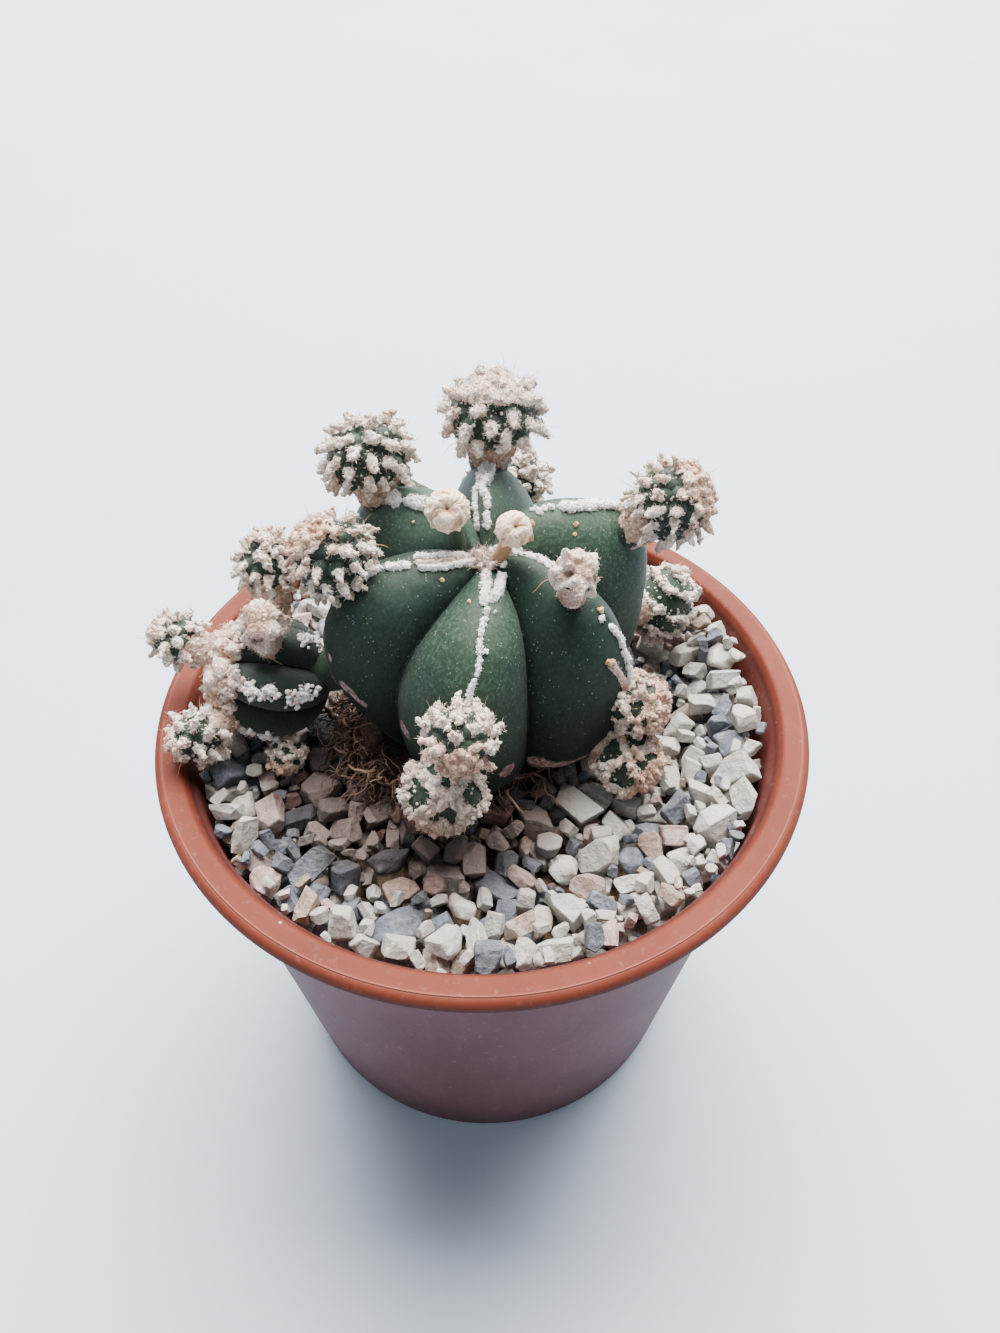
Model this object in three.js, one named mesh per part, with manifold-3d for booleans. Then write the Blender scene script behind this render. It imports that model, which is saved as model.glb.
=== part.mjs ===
// A round six-ribbed star cactus in a plastic pot.
// The dark green stem carries lines of white wool along its rib crests and a crowd of knobbly
// young offsets, and it stands in crushed stone over soil. Millimetres, +Z up, origin at the
// middle of the pot's foot. The front of the plant faces -Y.
import * as THREE from "three";
import { ConvexGeometry } from "three/addons/geometries/ConvexGeometry.js";
import { mergeVertices } from "three/addons/utils/BufferGeometryUtils.js";
import Module from "manifold-3d";

const wasm = await Module();
wasm.setup();

// ---------------------------------------------------------------- driving dimensions

const GAP = 0.35; // clearance between neighbouring pieces
const GOLDEN_ANGLE = Math.PI * (3 - Math.sqrt(5));
const rad = THREE.MathUtils.degToRad;

const POT = {
  height: 70,
  footRadius: 33.4, // outside of the wall at the foot
  neckRadius: 41.2, // outside of the wall just under the rim
  rimRadius: 45,
  rimDepth: 2.0, // height of the rim's lip
  bandWidth: 2.0, // flat band on top of the rim
  wall: 1.1,
  base: 1.3,
  segments: 60,
};
const DRAIN = { count: 6, circle: 23, radius: 3 }; // round holes; the middle of the base is solid

const SOIL_TOP = 58.5;
const GRAVEL = {
  floor: 58.9,
  level: 63.6,
  relief: 0.6,
  bank: { start: 27, end: 39, height: 0.6 }, // the stones lie higher against the wall
  heap: { azimuth: 11, spread: 12, height: 4 }, // and highest on the right
  around: 42,
  rings: 6,
};

const STEM = {
  axis: [0.7, 2.0],
  apex: 93.2, // the growing point sits in a small hollow
  apexHollow: 3.2, // radius of that hollow
  footRadius: 12.5,
  foot: 64.8,
  rows: 20,
  columnsPerRib: 8,
};

// Each rib: the crest's azimuth at the apex and at the shoulder, its reach from the axis, the
// heights of its top and its widest point, and how square its shoulder is. The furrow is the
// one after the rib, anticlockwise: its two azimuths and its reach as a share of the ribs'. An
// undercut above 1 makes the underside of a rib run in more steeply.
const RIBS = [
  { name: "northeast", azimuth: [46, 23], reach: 23.4, top: 97.0, waist: 82.0, square: 3.6,
    furrow: { azimuth: [70, 56], share: 0.68 } },
  { name: "north", azimuth: [91, 88], reach: 21.5, top: 99.5, waist: 84.0, square: 3.2,
    furrow: { azimuth: [103, 112], share: 0.68 } },
  { name: "northwest", azimuth: [116, 142], reach: 23.0, top: 97.8, waist: 82.0, square: 3.4,
    furrow: { azimuth: [150, 166], share: 0.68 } },
  { name: "west", azimuth: [184, 189], reach: 21.5, top: 95.0, waist: 79.5, square: 3.0,
    undercut: 1.75,
    furrow: { azimuth: [236, 220], share: 0.76 } },
  { name: "south", azimuth: [282, 261], reach: 18.6, top: 93.6, waist: 76.0, square: 2.7,
    furrow: { azimuth: [312, 292], share: 0.68 } },
  { name: "southeast", azimuth: [344, 333], reach: 20.2, top: 95.0, waist: 77.0, square: 2.6,
    furrow: { azimuth: [375, 358], share: 0.68 } },
];

// Lines of wool: the stretch of each crest that they cover, from apex (0) to foot (1).
const WOOL = { width: 1.9, height: 0.8, steps: 9 };
const WOOL_STRETCH = {
  northeast: [0.06, 0.3],
  north: [0.045, 0.24],
  northwest: [0.1, 0.3],
  west: [0.035, 0.22],
  south: [0.05, 0.36],
  southeast: [0.05, 0.46],
};

// Offsets: centre, radius over the tubercles, how much longer than wide, tubercle count, the
// direction that the growing point faces, and the point on the plant that the neck grows from.
const OFFSETS = [
  { name: "offset_north", at: [2.1, 18.8, 103.9], radius: 6.5, long: 0.88, tubercles: 44,
    faces: [0, 0.05, 1], root: [1.4, 18.2, 96] },
  { name: "offset_northwest", at: [-14.2, 15.0, 100.4], radius: 6.1, long: 0.9, tubercles: 42,
    faces: [-0.2, 0.15, 1], root: [-13.0, 14.0, 93] },
  { name: "offset_west", at: [-18.0, 1.9, 94.4], radius: 5.8, long: 1.0, tubercles: 40,
    faces: [-0.6, 0.1, 0.8], root: [-14.5, 1.2, 88] },
  { name: "offset_northeast", at: [24.3, 8.9, 96.4], radius: 5.7, long: 1.05, tubercles: 40,
    faces: [0.8, 0.05, 0.55], root: [18.0, 8.6, 91] },
  { name: "offset_southeast_crest", at: [11.2, -5.6, 97.6], radius: 3.5, long: 1.0, tubercles: 18,
    faces: [0.2, -0.45, 0.85], root: [11.0, -3.0, 90] },
  { name: "offset_south_upper", at: [-2.8, -18.7, 84.2], radius: 4.6, long: 0.95, tubercles: 34,
    faces: [-0.05, -0.9, 0.35], root: [-1.7, -11, 82] },
  { name: "offset_south_lower", at: [-5.3, -18.0, 72.6], radius: 5.4, long: 0.95, tubercles: 36,
    faces: [-0.2, -0.95, 0.0], root: [-2.8, -10, 73] },
  { name: "offset_southeast_upper", at: [20.3, -7.6, 76.5], radius: 4.1, long: 0.95, tubercles: 30,
    faces: [0.75, -0.45, 0.4], root: [14.5, -5.0, 78] },
  { name: "offset_southeast_lower", at: [19.4, -10.6, 68.9], radius: 4.7, long: 0.95, tubercles: 32,
    faces: [0.7, -0.65, -0.1], root: [13.0, -6.0, 71] },
  { name: "offset_east", at: [26.6, 14.8, 73.6], radius: 5.0, long: 1.25, tubercles: 34,
    faces: [0.45, 0.1, 0.9], root: [17.5, 10.5, 76] },
  { name: "offset_north_behind", at: [4.6, 27.6, 86.6], radius: 6.2, long: 1.0, tubercles: 38,
    faces: [0.15, 0.75, 0.6], root: [2.5, 17.0, 85] },
  { name: "branch_offset_upper", at: [-28.4, 9.6, 87.4], radius: 4.8, long: 0.95, tubercles: 34,
    faces: [-0.3, 0.25, 0.95], root: [-27.8, 4.2, 78] },
  { name: "branch_offset_crest", at: [-28.0, -1.2, 86.0], radius: 3.9, long: 0.9, tubercles: 16,
    faces: [-0.1, -0.35, 0.95], root: [-27.6, 0.2, 78] },
  { name: "branch_offset_tip", at: [-41.0, 4.2, 78.6], radius: 4.1, long: 1.05, tubercles: 28,
    faces: [-0.9, 0.2, 0.35], root: [-33.0, 1.5, 76.5] },
  { name: "branch_offset_lower", at: [-37.3, -8.6, 73.8], radius: 4.0, long: 1.1, tubercles: 28,
    faces: [-0.7, -0.5, -0.1], root: [-31.0, -2.5, 73] },
  { name: "branch_offset_foot", at: [-26.9, -7.2, 67.4], radius: 2.6, long: 0.95, tubercles: 20,
    faces: [-0.1, -0.85, -0.3], root: [-27.4, -2.0, 71] },
];
const NECK_RADIUS = 0.42; // of the offset's radius
const LARGE_OFFSET = 5.5; // radius from which an offset gets finer facets
const TUBERCLE = { rise: 0.26, spread: 0.3 };

// The branch: an offset that has grown into a small ribbed stem of its own.
const BRANCH = { at: [-28.3, 0.4, 75.0], radius: 8.4, long: 0.92, ribs: 6, depth: 0.3,
  faces: [-0.92, -0.06, 0.3], root: [-17, 1, 77] };
const STUB = { from: [-5.2, 16.4, 88.0], to: [-10.6, 20.6, 92.4], radius: 1.5 };

// Dried buds: papery balls on short stalks beside the growing point.
const BUDS = [
  { name: "dried_bud_left", at: [-3.8, 3.8, 100.0], radius: 2.6, root: [-3.0, 4.2, 91.5] },
  { name: "dried_bud_right", at: [4.2, 0.9, 99.4], radius: 2.1, root: [3.2, 2.4, 91.0] },
];
const BUD_STALK = 0.9;
const APEX_WOOL = { radius: 1.7, lift: 2.3 };

// Crown and taproot: radius and height pairs from the tip up to the collar under the stem.
const ROOT_PROFILE = [
  [1.2, 24], [2.4, 30], [3.6, 40], [5.5, 50], [9.5, 57], [13.6, 62], [14.2, 64.4], [12.6, 66.6],
];
const ROOT_AXIS = [-1.4, 1.2];
const ROOT_SIDES = 14;

// Larger chips of stone, bedded in the gravel: azimuth, distance out, length and turn.
const CHIPS = [
  [251, 34.4, 8.6, 15], [281.5, 32.6, 5.6, 80], [317, 35.6, 7.2, 140], [241, 25.8, 6.6, 30],
  [273.5, 36.2, 5.2, 95], [301, 35.4, 6.2, 40], [233, 35.6, 5.8, 70], [264, 29.6, 5.4, 160],
  [290.5, 36.6, 4.8, 10], [309, 29.8, 5.6, 120], [292, 26.4, 5.6, 60], [204, 35.2, 6.2, 100],
  [351, 34.8, 7.0, 70], [14, 36.6, 6.4, 150], [60, 34.6, 6.4, 15], [96, 35.2, 6.4, 80],
  [130, 35, 6.2, 120], [160, 33, 6.0, 45],
];
const CHIP = { corners: 10, width: 0.76, flatness: 0.56, lumps: 0.16, bedded: 0.3 };

const COLOURS = {
  terracotta: 0x9a4a38, soil: 0x3a2c22, stone: 0xb9b5a8, slate: 0x6f7788, skin: 0x2f4a38,
  wool: 0xe9e4dc, tubercle: 0xd9c8ba, root: 0x5d3a26, papery: 0xe6d3b4,
};

// ---------------------------------------------------------------- shapes and solids

const radial = (axis, r, azimuth, z) =>
  new THREE.Vector3(axis[0] + r * Math.cos(azimuth), axis[1] + r * Math.sin(azimuth), z);
const mix = (a, b, k) => a + (b - a) * k;

function closed(geometry) {
  const g = geometry.clone();
  g.deleteAttribute("normal");
  g.deleteAttribute("uv");
  return mergeVertices(g, 1e-4);
}

function solid(geometry) {
  const g = closed(geometry);
  return new wasm.Manifold(new wasm.Mesh({
    numProp: 3,
    vertProperties: new Float32Array(g.attributes.position.array),
    triVerts: new Uint32Array(g.index.array),
  }));
}

function largest(manifold) {
  return manifold.decompose().reduce((a, b) => (b.volume() > a.volume() ? b : a));
}

function geometryOf(manifold) {
  const mesh = manifold.getMesh();
  const points = new Float32Array(mesh.numVert * 3);
  for (let i = 0; i < mesh.numVert; i++) {
    points.set(mesh.vertProperties.subarray(i * mesh.numProp, i * mesh.numProp + 3), i * 3);
  }
  const g = new THREE.BufferGeometry();
  g.setAttribute("position", new THREE.BufferAttribute(points, 3));
  g.setIndex(new THREE.BufferAttribute(mesh.triVerts, 1));
  g.computeVertexNormals();
  return g;
}

// The same shape, fatter all over, to cut a neighbour back with.
function grown(geometry, by = GAP) {
  const g = closed(geometry);
  g.computeVertexNormals();
  const p = g.attributes.position;
  const n = g.attributes.normal;
  for (let i = 0; i < p.count; i++) {
    p.setXYZ(i, p.getX(i) + n.getX(i) * by, p.getY(i) + n.getY(i) * by, p.getZ(i) + n.getZ(i) * by);
  }
  return g;
}

// A closed body from equal rings of points, first ring to last, with a fan over each end.
function loft(rings, first, last) {
  const n = rings[0].length;
  const points = [first, ...rings.flat(), last];
  const faces = [];
  const at = (row, column) => 1 + row * n + (column % n);
  for (let c = 0; c < n; c++) {
    faces.push(0, at(0, c), at(0, c + 1));
    faces.push(points.length - 1, at(rings.length - 1, c + 1), at(rings.length - 1, c));
    for (let r = 0; r < rings.length - 1; r++) {
      faces.push(at(r, c), at(r + 1, c), at(r + 1, c + 1));
      faces.push(at(r, c), at(r + 1, c + 1), at(r, c + 1));
    }
  }
  const g = new THREE.BufferGeometry().setFromPoints(points);
  g.setIndex(faces);
  return g;
}

function rod(from, to, radius, sides = 10) {
  const a = new THREE.Vector3(...from);
  const b = new THREE.Vector3(...to);
  const axis = b.clone().sub(a);
  const g = new THREE.CylinderGeometry(radius, radius * 1.1, axis.length(), sides);
  g.applyQuaternion(new THREE.Quaternion().setFromUnitVectors(
    new THREE.Vector3(0, 1, 0), axis.clone().normalize()));
  return g.translate(...a.add(b).multiplyScalar(0.5).toArray());
}

function turnTo(geometry, direction, at) {
  const d = new THREE.Vector3(...direction).normalize();
  geometry.applyQuaternion(new THREE.Quaternion().setFromUnitVectors(new THREE.Vector3(0, 0, 1), d));
  return geometry.translate(...at);
}

// ---------------------------------------------------------------- pot, soil and gravel

const slope = (POT.neckRadius - POT.footRadius) / (POT.height - POT.rimDepth);
const wallInside = (z) => POT.footRadius + slope * z - POT.wall;

function pot() {
  const { height: h, rimRadius: r, rimDepth: d, bandWidth, neckRadius: neck, base } = POT;
  const profile = [
    [0, 0], [POT.footRadius - 0.7, 0], [POT.footRadius, 0.8], [neck, h - d - 0.4],
    [neck + 0.4, h - 1.4], [r - 1.5, h - 1.2], [r - 1.1, h - d + 0.2], [r - 0.7, h - d],
    [r - 0.2, h - d + 0.1], [r, h - 1.4], [r - 0.1, h - 0.8], [r - 0.5, h - 0.25], [r - 1.1, h],
    [r - 1.1 - bandWidth, h - 0.05], [r - 1.9 - bandWidth, h - 0.5],
    [wallInside(h - 2.6), h - 2.6], [wallInside(base + 1.6), base + 1.6],
    [wallInside(base) - 1.6, base], [0, base],
  ].map(([x, z]) => new THREE.Vector2(x, z));
  let shell = solid(new THREE.LatheGeometry(profile, POT.segments).rotateX(Math.PI / 2));
  for (let i = 0; i < DRAIN.count; i++) {
    const a = (i + 0.5) * 2 * Math.PI / DRAIN.count;
    const hole = new THREE.CylinderGeometry(DRAIN.radius, DRAIN.radius, 4 * base, 12)
      .rotateX(Math.PI / 2)
      .translate(DRAIN.circle * Math.cos(a), DRAIN.circle * Math.sin(a), base / 2);
    shell = shell.subtract(solid(hole));
  }
  return geometryOf(shell);
}

function rootGeometry() {
  const rings = ROOT_PROFILE.map(([r, z], row) => Array.from({ length: ROOT_SIDES }, (_, i) => {
    const a = i * 2 * Math.PI / ROOT_SIDES;
    const lobes = 1 + 0.07 * Math.sin(3 * a + row) + 0.04 * Math.sin(5 * a - row);
    return radial(ROOT_AXIS, r * lobes, a, z);
  })).reverse();
  const [top, tip] = [ROOT_PROFILE.at(-1)[1], ROOT_PROFILE[0][1]];
  return loft(rings, new THREE.Vector3(...ROOT_AXIS, top), new THREE.Vector3(...ROOT_AXIS, tip - 3));
}

function soil(root) {
  const floor = POT.base + GAP;
  const side = (z) => wallInside(z) - GAP;
  const profile = [
    [0, floor], [side(floor) - 2.2, floor], [side(floor + 2.2), floor + 2.2],
    [side(SOIL_TOP), SOIL_TOP], [0, SOIL_TOP],
  ].map(([x, z]) => new THREE.Vector2(x, z));
  const lathe = new THREE.LatheGeometry(profile, POT.segments).rotateX(Math.PI / 2);
  return geometryOf(solid(lathe).subtract(solid(grown(root))));
}

// Height of the stones: rolling, banked up against the wall, with one heap.
function bedHeight(x, y) {
  const { level, relief, bank, heap } = GRAVEL;
  const rolling = Math.sin(0.9 * x + 1.3 * Math.sin(0.5 * y)) * Math.cos(0.8 * y - 0.6 * Math.sin(0.7 * x));
  const out = THREE.MathUtils.smoothstep(Math.hypot(x, y), bank.start, bank.end);
  const turn = THREE.MathUtils.radToDeg(Math.atan2(y, x)) - heap.azimuth;
  const heaped = heap.height * Math.exp(-((turn / heap.spread) ** 2));
  return level + relief * rolling + out * (bank.height + heaped);
}

// Crushed stone as one bed, with a rolling surface, hollowed where the plant and chips sit.
function gravelBed(neighbours) {
  const { floor, level, around, rings: count } = GRAVEL;
  const circle = (r, z) => Array.from({ length: around }, (_, i) => {
    const p = radial([0, 0], r, i * 2 * Math.PI / around, 0);
    return p.setZ(z ?? bedHeight(p.x, p.y));
  });
  const edge = wallInside(level) - GAP;
  const rings = Array.from({ length: count }, (_, i) => circle(edge * (i + 1) / count));
  rings.push(circle(wallInside(floor) - GAP, floor));
  const bed = loft(rings, new THREE.Vector3(0, 0, level), new THREE.Vector3(0, 0, floor));
  return geometryOf(neighbours.reduce((rest, g) => rest.subtract(solid(grown(g))), solid(bed)));
}

// An angular chip: the hull of a few corners spread over a flattened lump.
function chip([azimuth, distance, length, turn], index) {
  const corners = Array.from({ length: CHIP.corners }, (_, k) => {
    const up = 1 - 2 * (k + 0.5) / CHIP.corners;
    const flat = Math.sqrt(1 - up * up);
    const a = k * GOLDEN_ANGLE + index;
    const size = length / 2 * (1 + CHIP.lumps * Math.sin(5.1 * k + 2.3 * index));
    return new THREE.Vector3(flat * Math.cos(a), CHIP.width * flat * Math.sin(a), CHIP.flatness * up)
      .multiplyScalar(size);
  });
  const at = radial([0, 0], distance, rad(azimuth), 0);
  const lift = (0.5 - CHIP.bedded) * length * CHIP.flatness;
  return closed(new ConvexGeometry(corners)).rotateZ(rad(turn))
    .translate(at.x, at.y, bedHeight(at.x, at.y) + lift);
}

// ---------------------------------------------------------------- the plant

// Distance from the axis and height of a meridian, from the apex (t = 0) to the foot (t = 1).
function meridian(t, reach, top, waist, square, footRadius, undercut = 1) {
  const a = Math.PI * Math.min(t, 0.5);
  const b = Math.PI * Math.max(t - 0.5, 0);
  if (t < 0.5) {
    const r = reach * Math.sin(a) ** (2 / square);
    const hollow = (top - STEM.apex) * Math.exp(-((r / STEM.apexHollow) ** 2));
    return [r, waist + (top - waist) * Math.cos(a) ** (2 / square) - hollow];
  }
  const power = undercut * 2 / 2.3;
  return [
    footRadius + (reach - footRadius) * Math.max(Math.cos(b), 0) ** power,
    waist - (waist - STEM.foot) * Math.sin(b) ** power,
  ];
}

const along = (pair, r, reach, t) => rad(mix(pair[0], pair[1], t < 0.5 ? Math.min(r / reach, 1) : 1));

function crestAt(rib, t) {
  const [r, z] = meridian(t, rib.reach, rib.top, rib.waist, rib.square, STEM.footRadius, rib.undercut);
  return { r, z, azimuth: along(rib.azimuth, r, rib.reach, t) };
}

function furrowAt(rib, next, t) {
  const reach = rib.furrow.share * (rib.reach + next.reach) / 2;
  const top = Math.min(rib.top, next.top) - 1;
  const waist = (rib.waist + next.waist) / 2 - 1;
  const [r, z] = meridian(t, reach, top, waist, 2, STEM.footRadius * 0.8);
  return { r, z, azimuth: along(rib.furrow.azimuth, r, reach, t) };
}

// How much of the way from furrow (0) to crest (1) the skin is, across half a rib.
const flank = (u) => 0.72 * Math.cos(u * Math.PI / 2) ** 0.75 + 0.28 * (1 - u);

function stemRow(t) {
  const half = STEM.columnsPerRib / 2;
  const ring = [];
  RIBS.forEach((rib, i) => {
    const crest = crestAt(rib, t);
    const before = furrowAt(RIBS.at(i - 1), rib, t);
    const after = furrowAt(rib, RIBS[(i + 1) % RIBS.length], t);
    for (let j = -half; j < half; j++) {
      const u = Math.abs(j / half);
      const edge = j < 0 ? before : after;
      const turn = THREE.MathUtils.euclideanModulo(edge.azimuth - crest.azimuth + Math.PI, 2 * Math.PI)
        - Math.PI;
      const s = flank(u);
      ring.push(radial(STEM.axis, mix(edge.r, crest.r, s), crest.azimuth + turn * u,
        mix(edge.z, crest.z, s)));
    }
  });
  return ring;
}

function stemGeometry() {
  const rings = Array.from({ length: STEM.rows - 1 }, (_, i) => stemRow((i + 1) / (STEM.rows - 1)));
  return loft(rings, new THREE.Vector3(...STEM.axis, STEM.apex),
    new THREE.Vector3(...STEM.axis, STEM.foot));
}

// A flat-bottomed strip of wool that follows a rib's crest, just clear of the skin.
function woolLine(rib) {
  const [start, end] = WOOL_STRETCH[rib.name];
  const crestPoint = (t) => {
    const c = crestAt(rib, t);
    return radial(STEM.axis, c.r, c.azimuth, c.z);
  };
  const rings = Array.from({ length: WOOL.steps + 1 }, (_, i) => {
    const t = mix(start, end, i / WOOL.steps);
    const p = crestPoint(t);
    const forward = crestPoint(t + 0.01).sub(crestPoint(t - 0.01)).normalize();
    const azimuth = crestAt(rib, t).azimuth;
    const side = new THREE.Vector3(-Math.sin(azimuth), Math.cos(azimuth), 0);
    side.addScaledVector(forward, -side.dot(forward)).normalize();
    const up = forward.clone().cross(side);
    const section = [[0.5, 0.1], [-0.5, 0.1], [-0.42, 0.75], [-0.15, 1], [0.15, 1], [0.42, 0.75]];
    return section.map(([x, y]) => p.clone()
      .addScaledVector(side, x * WOOL.width)
      .addScaledVector(up, GAP + y * WOOL.height));
  });
  const middle = (ring) => ring.reduce((a, b) => a.add(b), new THREE.Vector3()).divideScalar(ring.length);
  return loft(rings, middle(rings[0]), middle(rings.at(-1)));
}

// A ball of tubercles set in a golden-angle spiral round the growing point.
function tubercledBall(radius, long, count) {
  const g = closed(new THREE.IcosahedronGeometry(1, radius < LARGE_OFFSET ? 2 : 3));
  const tips = Array.from({ length: count }, (_, k) => {
    const z = 1 - 1.8 * (k + 0.5) / count;
    const flat = Math.sqrt(1 - z * z);
    return new THREE.Vector3(flat * Math.cos(k * GOLDEN_ANGLE), flat * Math.sin(k * GOLDEN_ANGLE), z);
  });
  const p = g.attributes.position;
  const d = new THREE.Vector3();
  for (let i = 0; i < p.count; i++) {
    d.fromBufferAttribute(p, i).normalize();
    const nearest = Math.min(...tips.map((tip) => tip.angleTo(d)));
    const rise = Math.exp(-((nearest / TUBERCLE.spread) ** 2));
    d.multiplyScalar(radius * (1 - TUBERCLE.rise * (1 - rise)));
    p.setXYZ(i, d.x, d.y, d.z * long);
  }
  return g;
}

function offsetSolid({ at, radius, long, tubercles, faces, root }) {
  const ball = turnTo(tubercledBall(radius, long, tubercles), faces, at);
  return solid(ball).add(solid(rod(root, at, radius * NECK_RADIUS, 8)));
}

// A small stem seen from its side: ribs run back from its growing point to where it joins on.
function branchSolid() {
  const { radius, long, ribs, depth } = BRANCH;
  const [rows, columns] = [11, ribs * 6];
  const rings = Array.from({ length: rows - 1 }, (_, i) => {
    const a = Math.PI * (i + 1) / rows;
    return Array.from({ length: columns }, (_, j) => {
      const turn = j * 2 * Math.PI / columns;
      const notch = 1 - depth * (1 - Math.abs(Math.cos(ribs * turn / 2)) ** 0.8);
      return radial([0, 0], radius * Math.sin(a) * notch, turn, radius * long * Math.cos(a));
    });
  });
  const tip = radius * long;
  const body = loft(rings, new THREE.Vector3(0, 0, tip * 0.94), new THREE.Vector3(0, 0, -tip));
  return solid(turnTo(body, BRANCH.faces, BRANCH.at)).add(solid(rod(BRANCH.root, BRANCH.at, 3.4)));
}

function budSolid({ at, radius, root }) {
  const g = closed(new THREE.IcosahedronGeometry(1, 2));
  const p = g.attributes.position;
  const d = new THREE.Vector3();
  for (let i = 0; i < p.count; i++) {
    d.fromBufferAttribute(p, i).normalize();
    const dimple = 0.45 * Math.exp(-((d.angleTo(new THREE.Vector3(0, 0, 1)) / 0.4) ** 2));
    const folds = 0.05 * Math.cos(8 * Math.atan2(d.y, d.x));
    d.multiplyScalar(radius * (1 - dimple + folds * (1 - Math.abs(d.z))));
    p.setXYZ(i, d.x, d.y, d.z);
  }
  turnTo(g, [0, -0.55, 0.85], at);
  return solid(g).add(solid(rod(root, at, BUD_STALK, 8)));
}

function apexWool() {
  const ball = new THREE.IcosahedronGeometry(APEX_WOOL.radius, 2).scale(1, 1, 0.85);
  return ball.translate(...STEM.axis, STEM.apex + APEX_WOOL.lift);
}

// ---------------------------------------------------------------- assembly

const potted = new THREE.Group();
potted.name = "potted_round_cactus";

function add(name, geometry, colour, roughness = 0.8) {
  const material = new THREE.MeshStandardMaterial({ color: COLOURS[colour], roughness, metalness: 0 });
  const mesh = new THREE.Mesh(geometry, material);
  mesh.name = name;
  potted.add(mesh);
  return mesh;
}

const stem = stemGeometry();
const root = rootGeometry();
const chips = CHIPS.map(chip);

add("pot", pot(), "terracotta", 0.45);
add("soil", soil(root), "soil", 0.95);
add("gravel_bed", gravelBed([root, stem, ...chips]), "stone", 0.9);
chips.forEach((geometry, i) => add("stone_chip_" + String(i + 1).padStart(2, "0"), geometry,
  i % 3 ? "stone" : "slate", 0.85));
add("root_crown", geometryOf(largest(solid(root).subtract(solid(grown(stem))))), "root", 0.95);
add("stem", stem, "skin", 0.55);

const woolLines = RIBS.map((rib) => [rib.name, woolLine(rib)]);
woolLines.forEach(([name, geometry]) => add("wool_line_" + name, geometry, "wool", 1));

// Each piece that grows on the stem is cut back from everything that was added before it.
const placed = [stem, ...woolLines.map(([, geometry]) => geometry)].map((g) => solid(grown(g)));
function addClear(name, body, colour, roughness) {
  const cut = placed.reduce((rest, neighbour) => rest.subtract(neighbour), body);
  const geometry = geometryOf(largest(cut));
  placed.push(solid(grown(geometry)));
  return add(name, geometry, colour, roughness);
}

BUDS.forEach((bud) => addClear(bud.name, budSolid(bud), "papery", 0.9));
addClear("apex_wool", solid(apexWool()), "tubercle", 1);
addClear("branch_stem", branchSolid(), "skin", 0.55);
addClear("stub_northwest", solid(rod(STUB.from, STUB.to, STUB.radius)), "skin", 0.55);
OFFSETS.forEach((offset) => addClear(offset.name, offsetSolid(offset), "tubercle", 0.95));

export default potted;
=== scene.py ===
# %% [markdown]
# # A potted star cactus, made to be looked at closely
#
# The object is a round cactus with six ribs, a crowd of woolly offsets and a layer of crushed
# stone, in a small plastic nursery pot. The solids that give it its real size are loaded first,
# as a fixed frame. Every cell after that makes one piece or one finish over that frame. Sizes in
# the tables are millimetres, because the plant is easiest to think about in them, and one
# function turns them into Blender's metres.

# %% Load the frame
import bmesh
import bpy
import itertools
import math
import numpy as np
from mathutils import Matrix, Vector
from mathutils.bvhtree import BVHTree


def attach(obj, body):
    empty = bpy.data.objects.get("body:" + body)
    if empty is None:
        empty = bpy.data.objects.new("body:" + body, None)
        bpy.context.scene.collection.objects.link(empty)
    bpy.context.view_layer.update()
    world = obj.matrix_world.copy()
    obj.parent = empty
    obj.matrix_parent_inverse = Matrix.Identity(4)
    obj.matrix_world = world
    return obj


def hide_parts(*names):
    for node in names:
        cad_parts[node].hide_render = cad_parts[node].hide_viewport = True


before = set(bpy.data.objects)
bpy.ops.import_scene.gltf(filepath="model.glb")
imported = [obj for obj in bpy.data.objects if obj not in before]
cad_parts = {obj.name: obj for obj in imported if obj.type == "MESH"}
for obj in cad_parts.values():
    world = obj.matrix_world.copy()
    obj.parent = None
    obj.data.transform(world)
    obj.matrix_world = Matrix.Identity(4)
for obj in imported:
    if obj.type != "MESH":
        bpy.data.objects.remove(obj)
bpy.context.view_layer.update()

MM = 0.001
GOLDEN_ANGLE = math.pi * (3 - math.sqrt(5))

def placed(name, data):
    """A new object in the scene."""
    thing = bpy.data.objects.new(name, data)
    bpy.context.scene.collection.objects.link(thing)
    return thing

# %% [markdown]
# ## The camera
# The view is the one that a person has when looking down at a pot on a table. A camera can be
# placed by eye, or worked out from something round whose size is known. Here the rim of the pot
# gave the place and the tilt, and the lens is the wide one of a hand-held camera.

# %% Camera
CAMERA_AT = Vector((0.0, -93.17, 174.64)) * MM
CAMERA_YAW, CAMERA_PITCH, CAMERA_ROLL = (math.radians(a) for a in (1.495, 46.517, -0.122))
IMAGE_HEIGHT = 1333
FOCAL_PIXELS = 1000
SENSOR = 36
NEAR, FAR = 0.01, 20

def make_camera():
    """A camera that looks down at the pot: yaw turns it to the right, pitch tilts it down."""
    ahead = Vector((math.sin(CAMERA_YAW) * math.cos(CAMERA_PITCH),
                    math.cos(CAMERA_YAW) * math.cos(CAMERA_PITCH), -math.sin(CAMERA_PITCH)))
    level = ahead.cross(Vector((0, 0, 1))).normalized()
    over = level.cross(ahead)
    right = level * math.cos(CAMERA_ROLL) + over * math.sin(CAMERA_ROLL)
    up = over * math.cos(CAMERA_ROLL) - level * math.sin(CAMERA_ROLL)
    data = bpy.data.cameras.new("camera")
    data.sensor_width = SENSOR
    data.lens = SENSOR * FOCAL_PIXELS / IMAGE_HEIGHT
    data.clip_start, data.clip_end = NEAR, FAR
    camera = placed("camera", data)
    turn = Matrix((right, up, -ahead)).transposed().to_4x4()
    camera.matrix_world = Matrix.Translation(CAMERA_AT) @ turn
    bpy.context.scene.camera = camera
    return camera

camera = make_camera()
print("camera lens:", round(camera.data.lens, 1), "mm")

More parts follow.
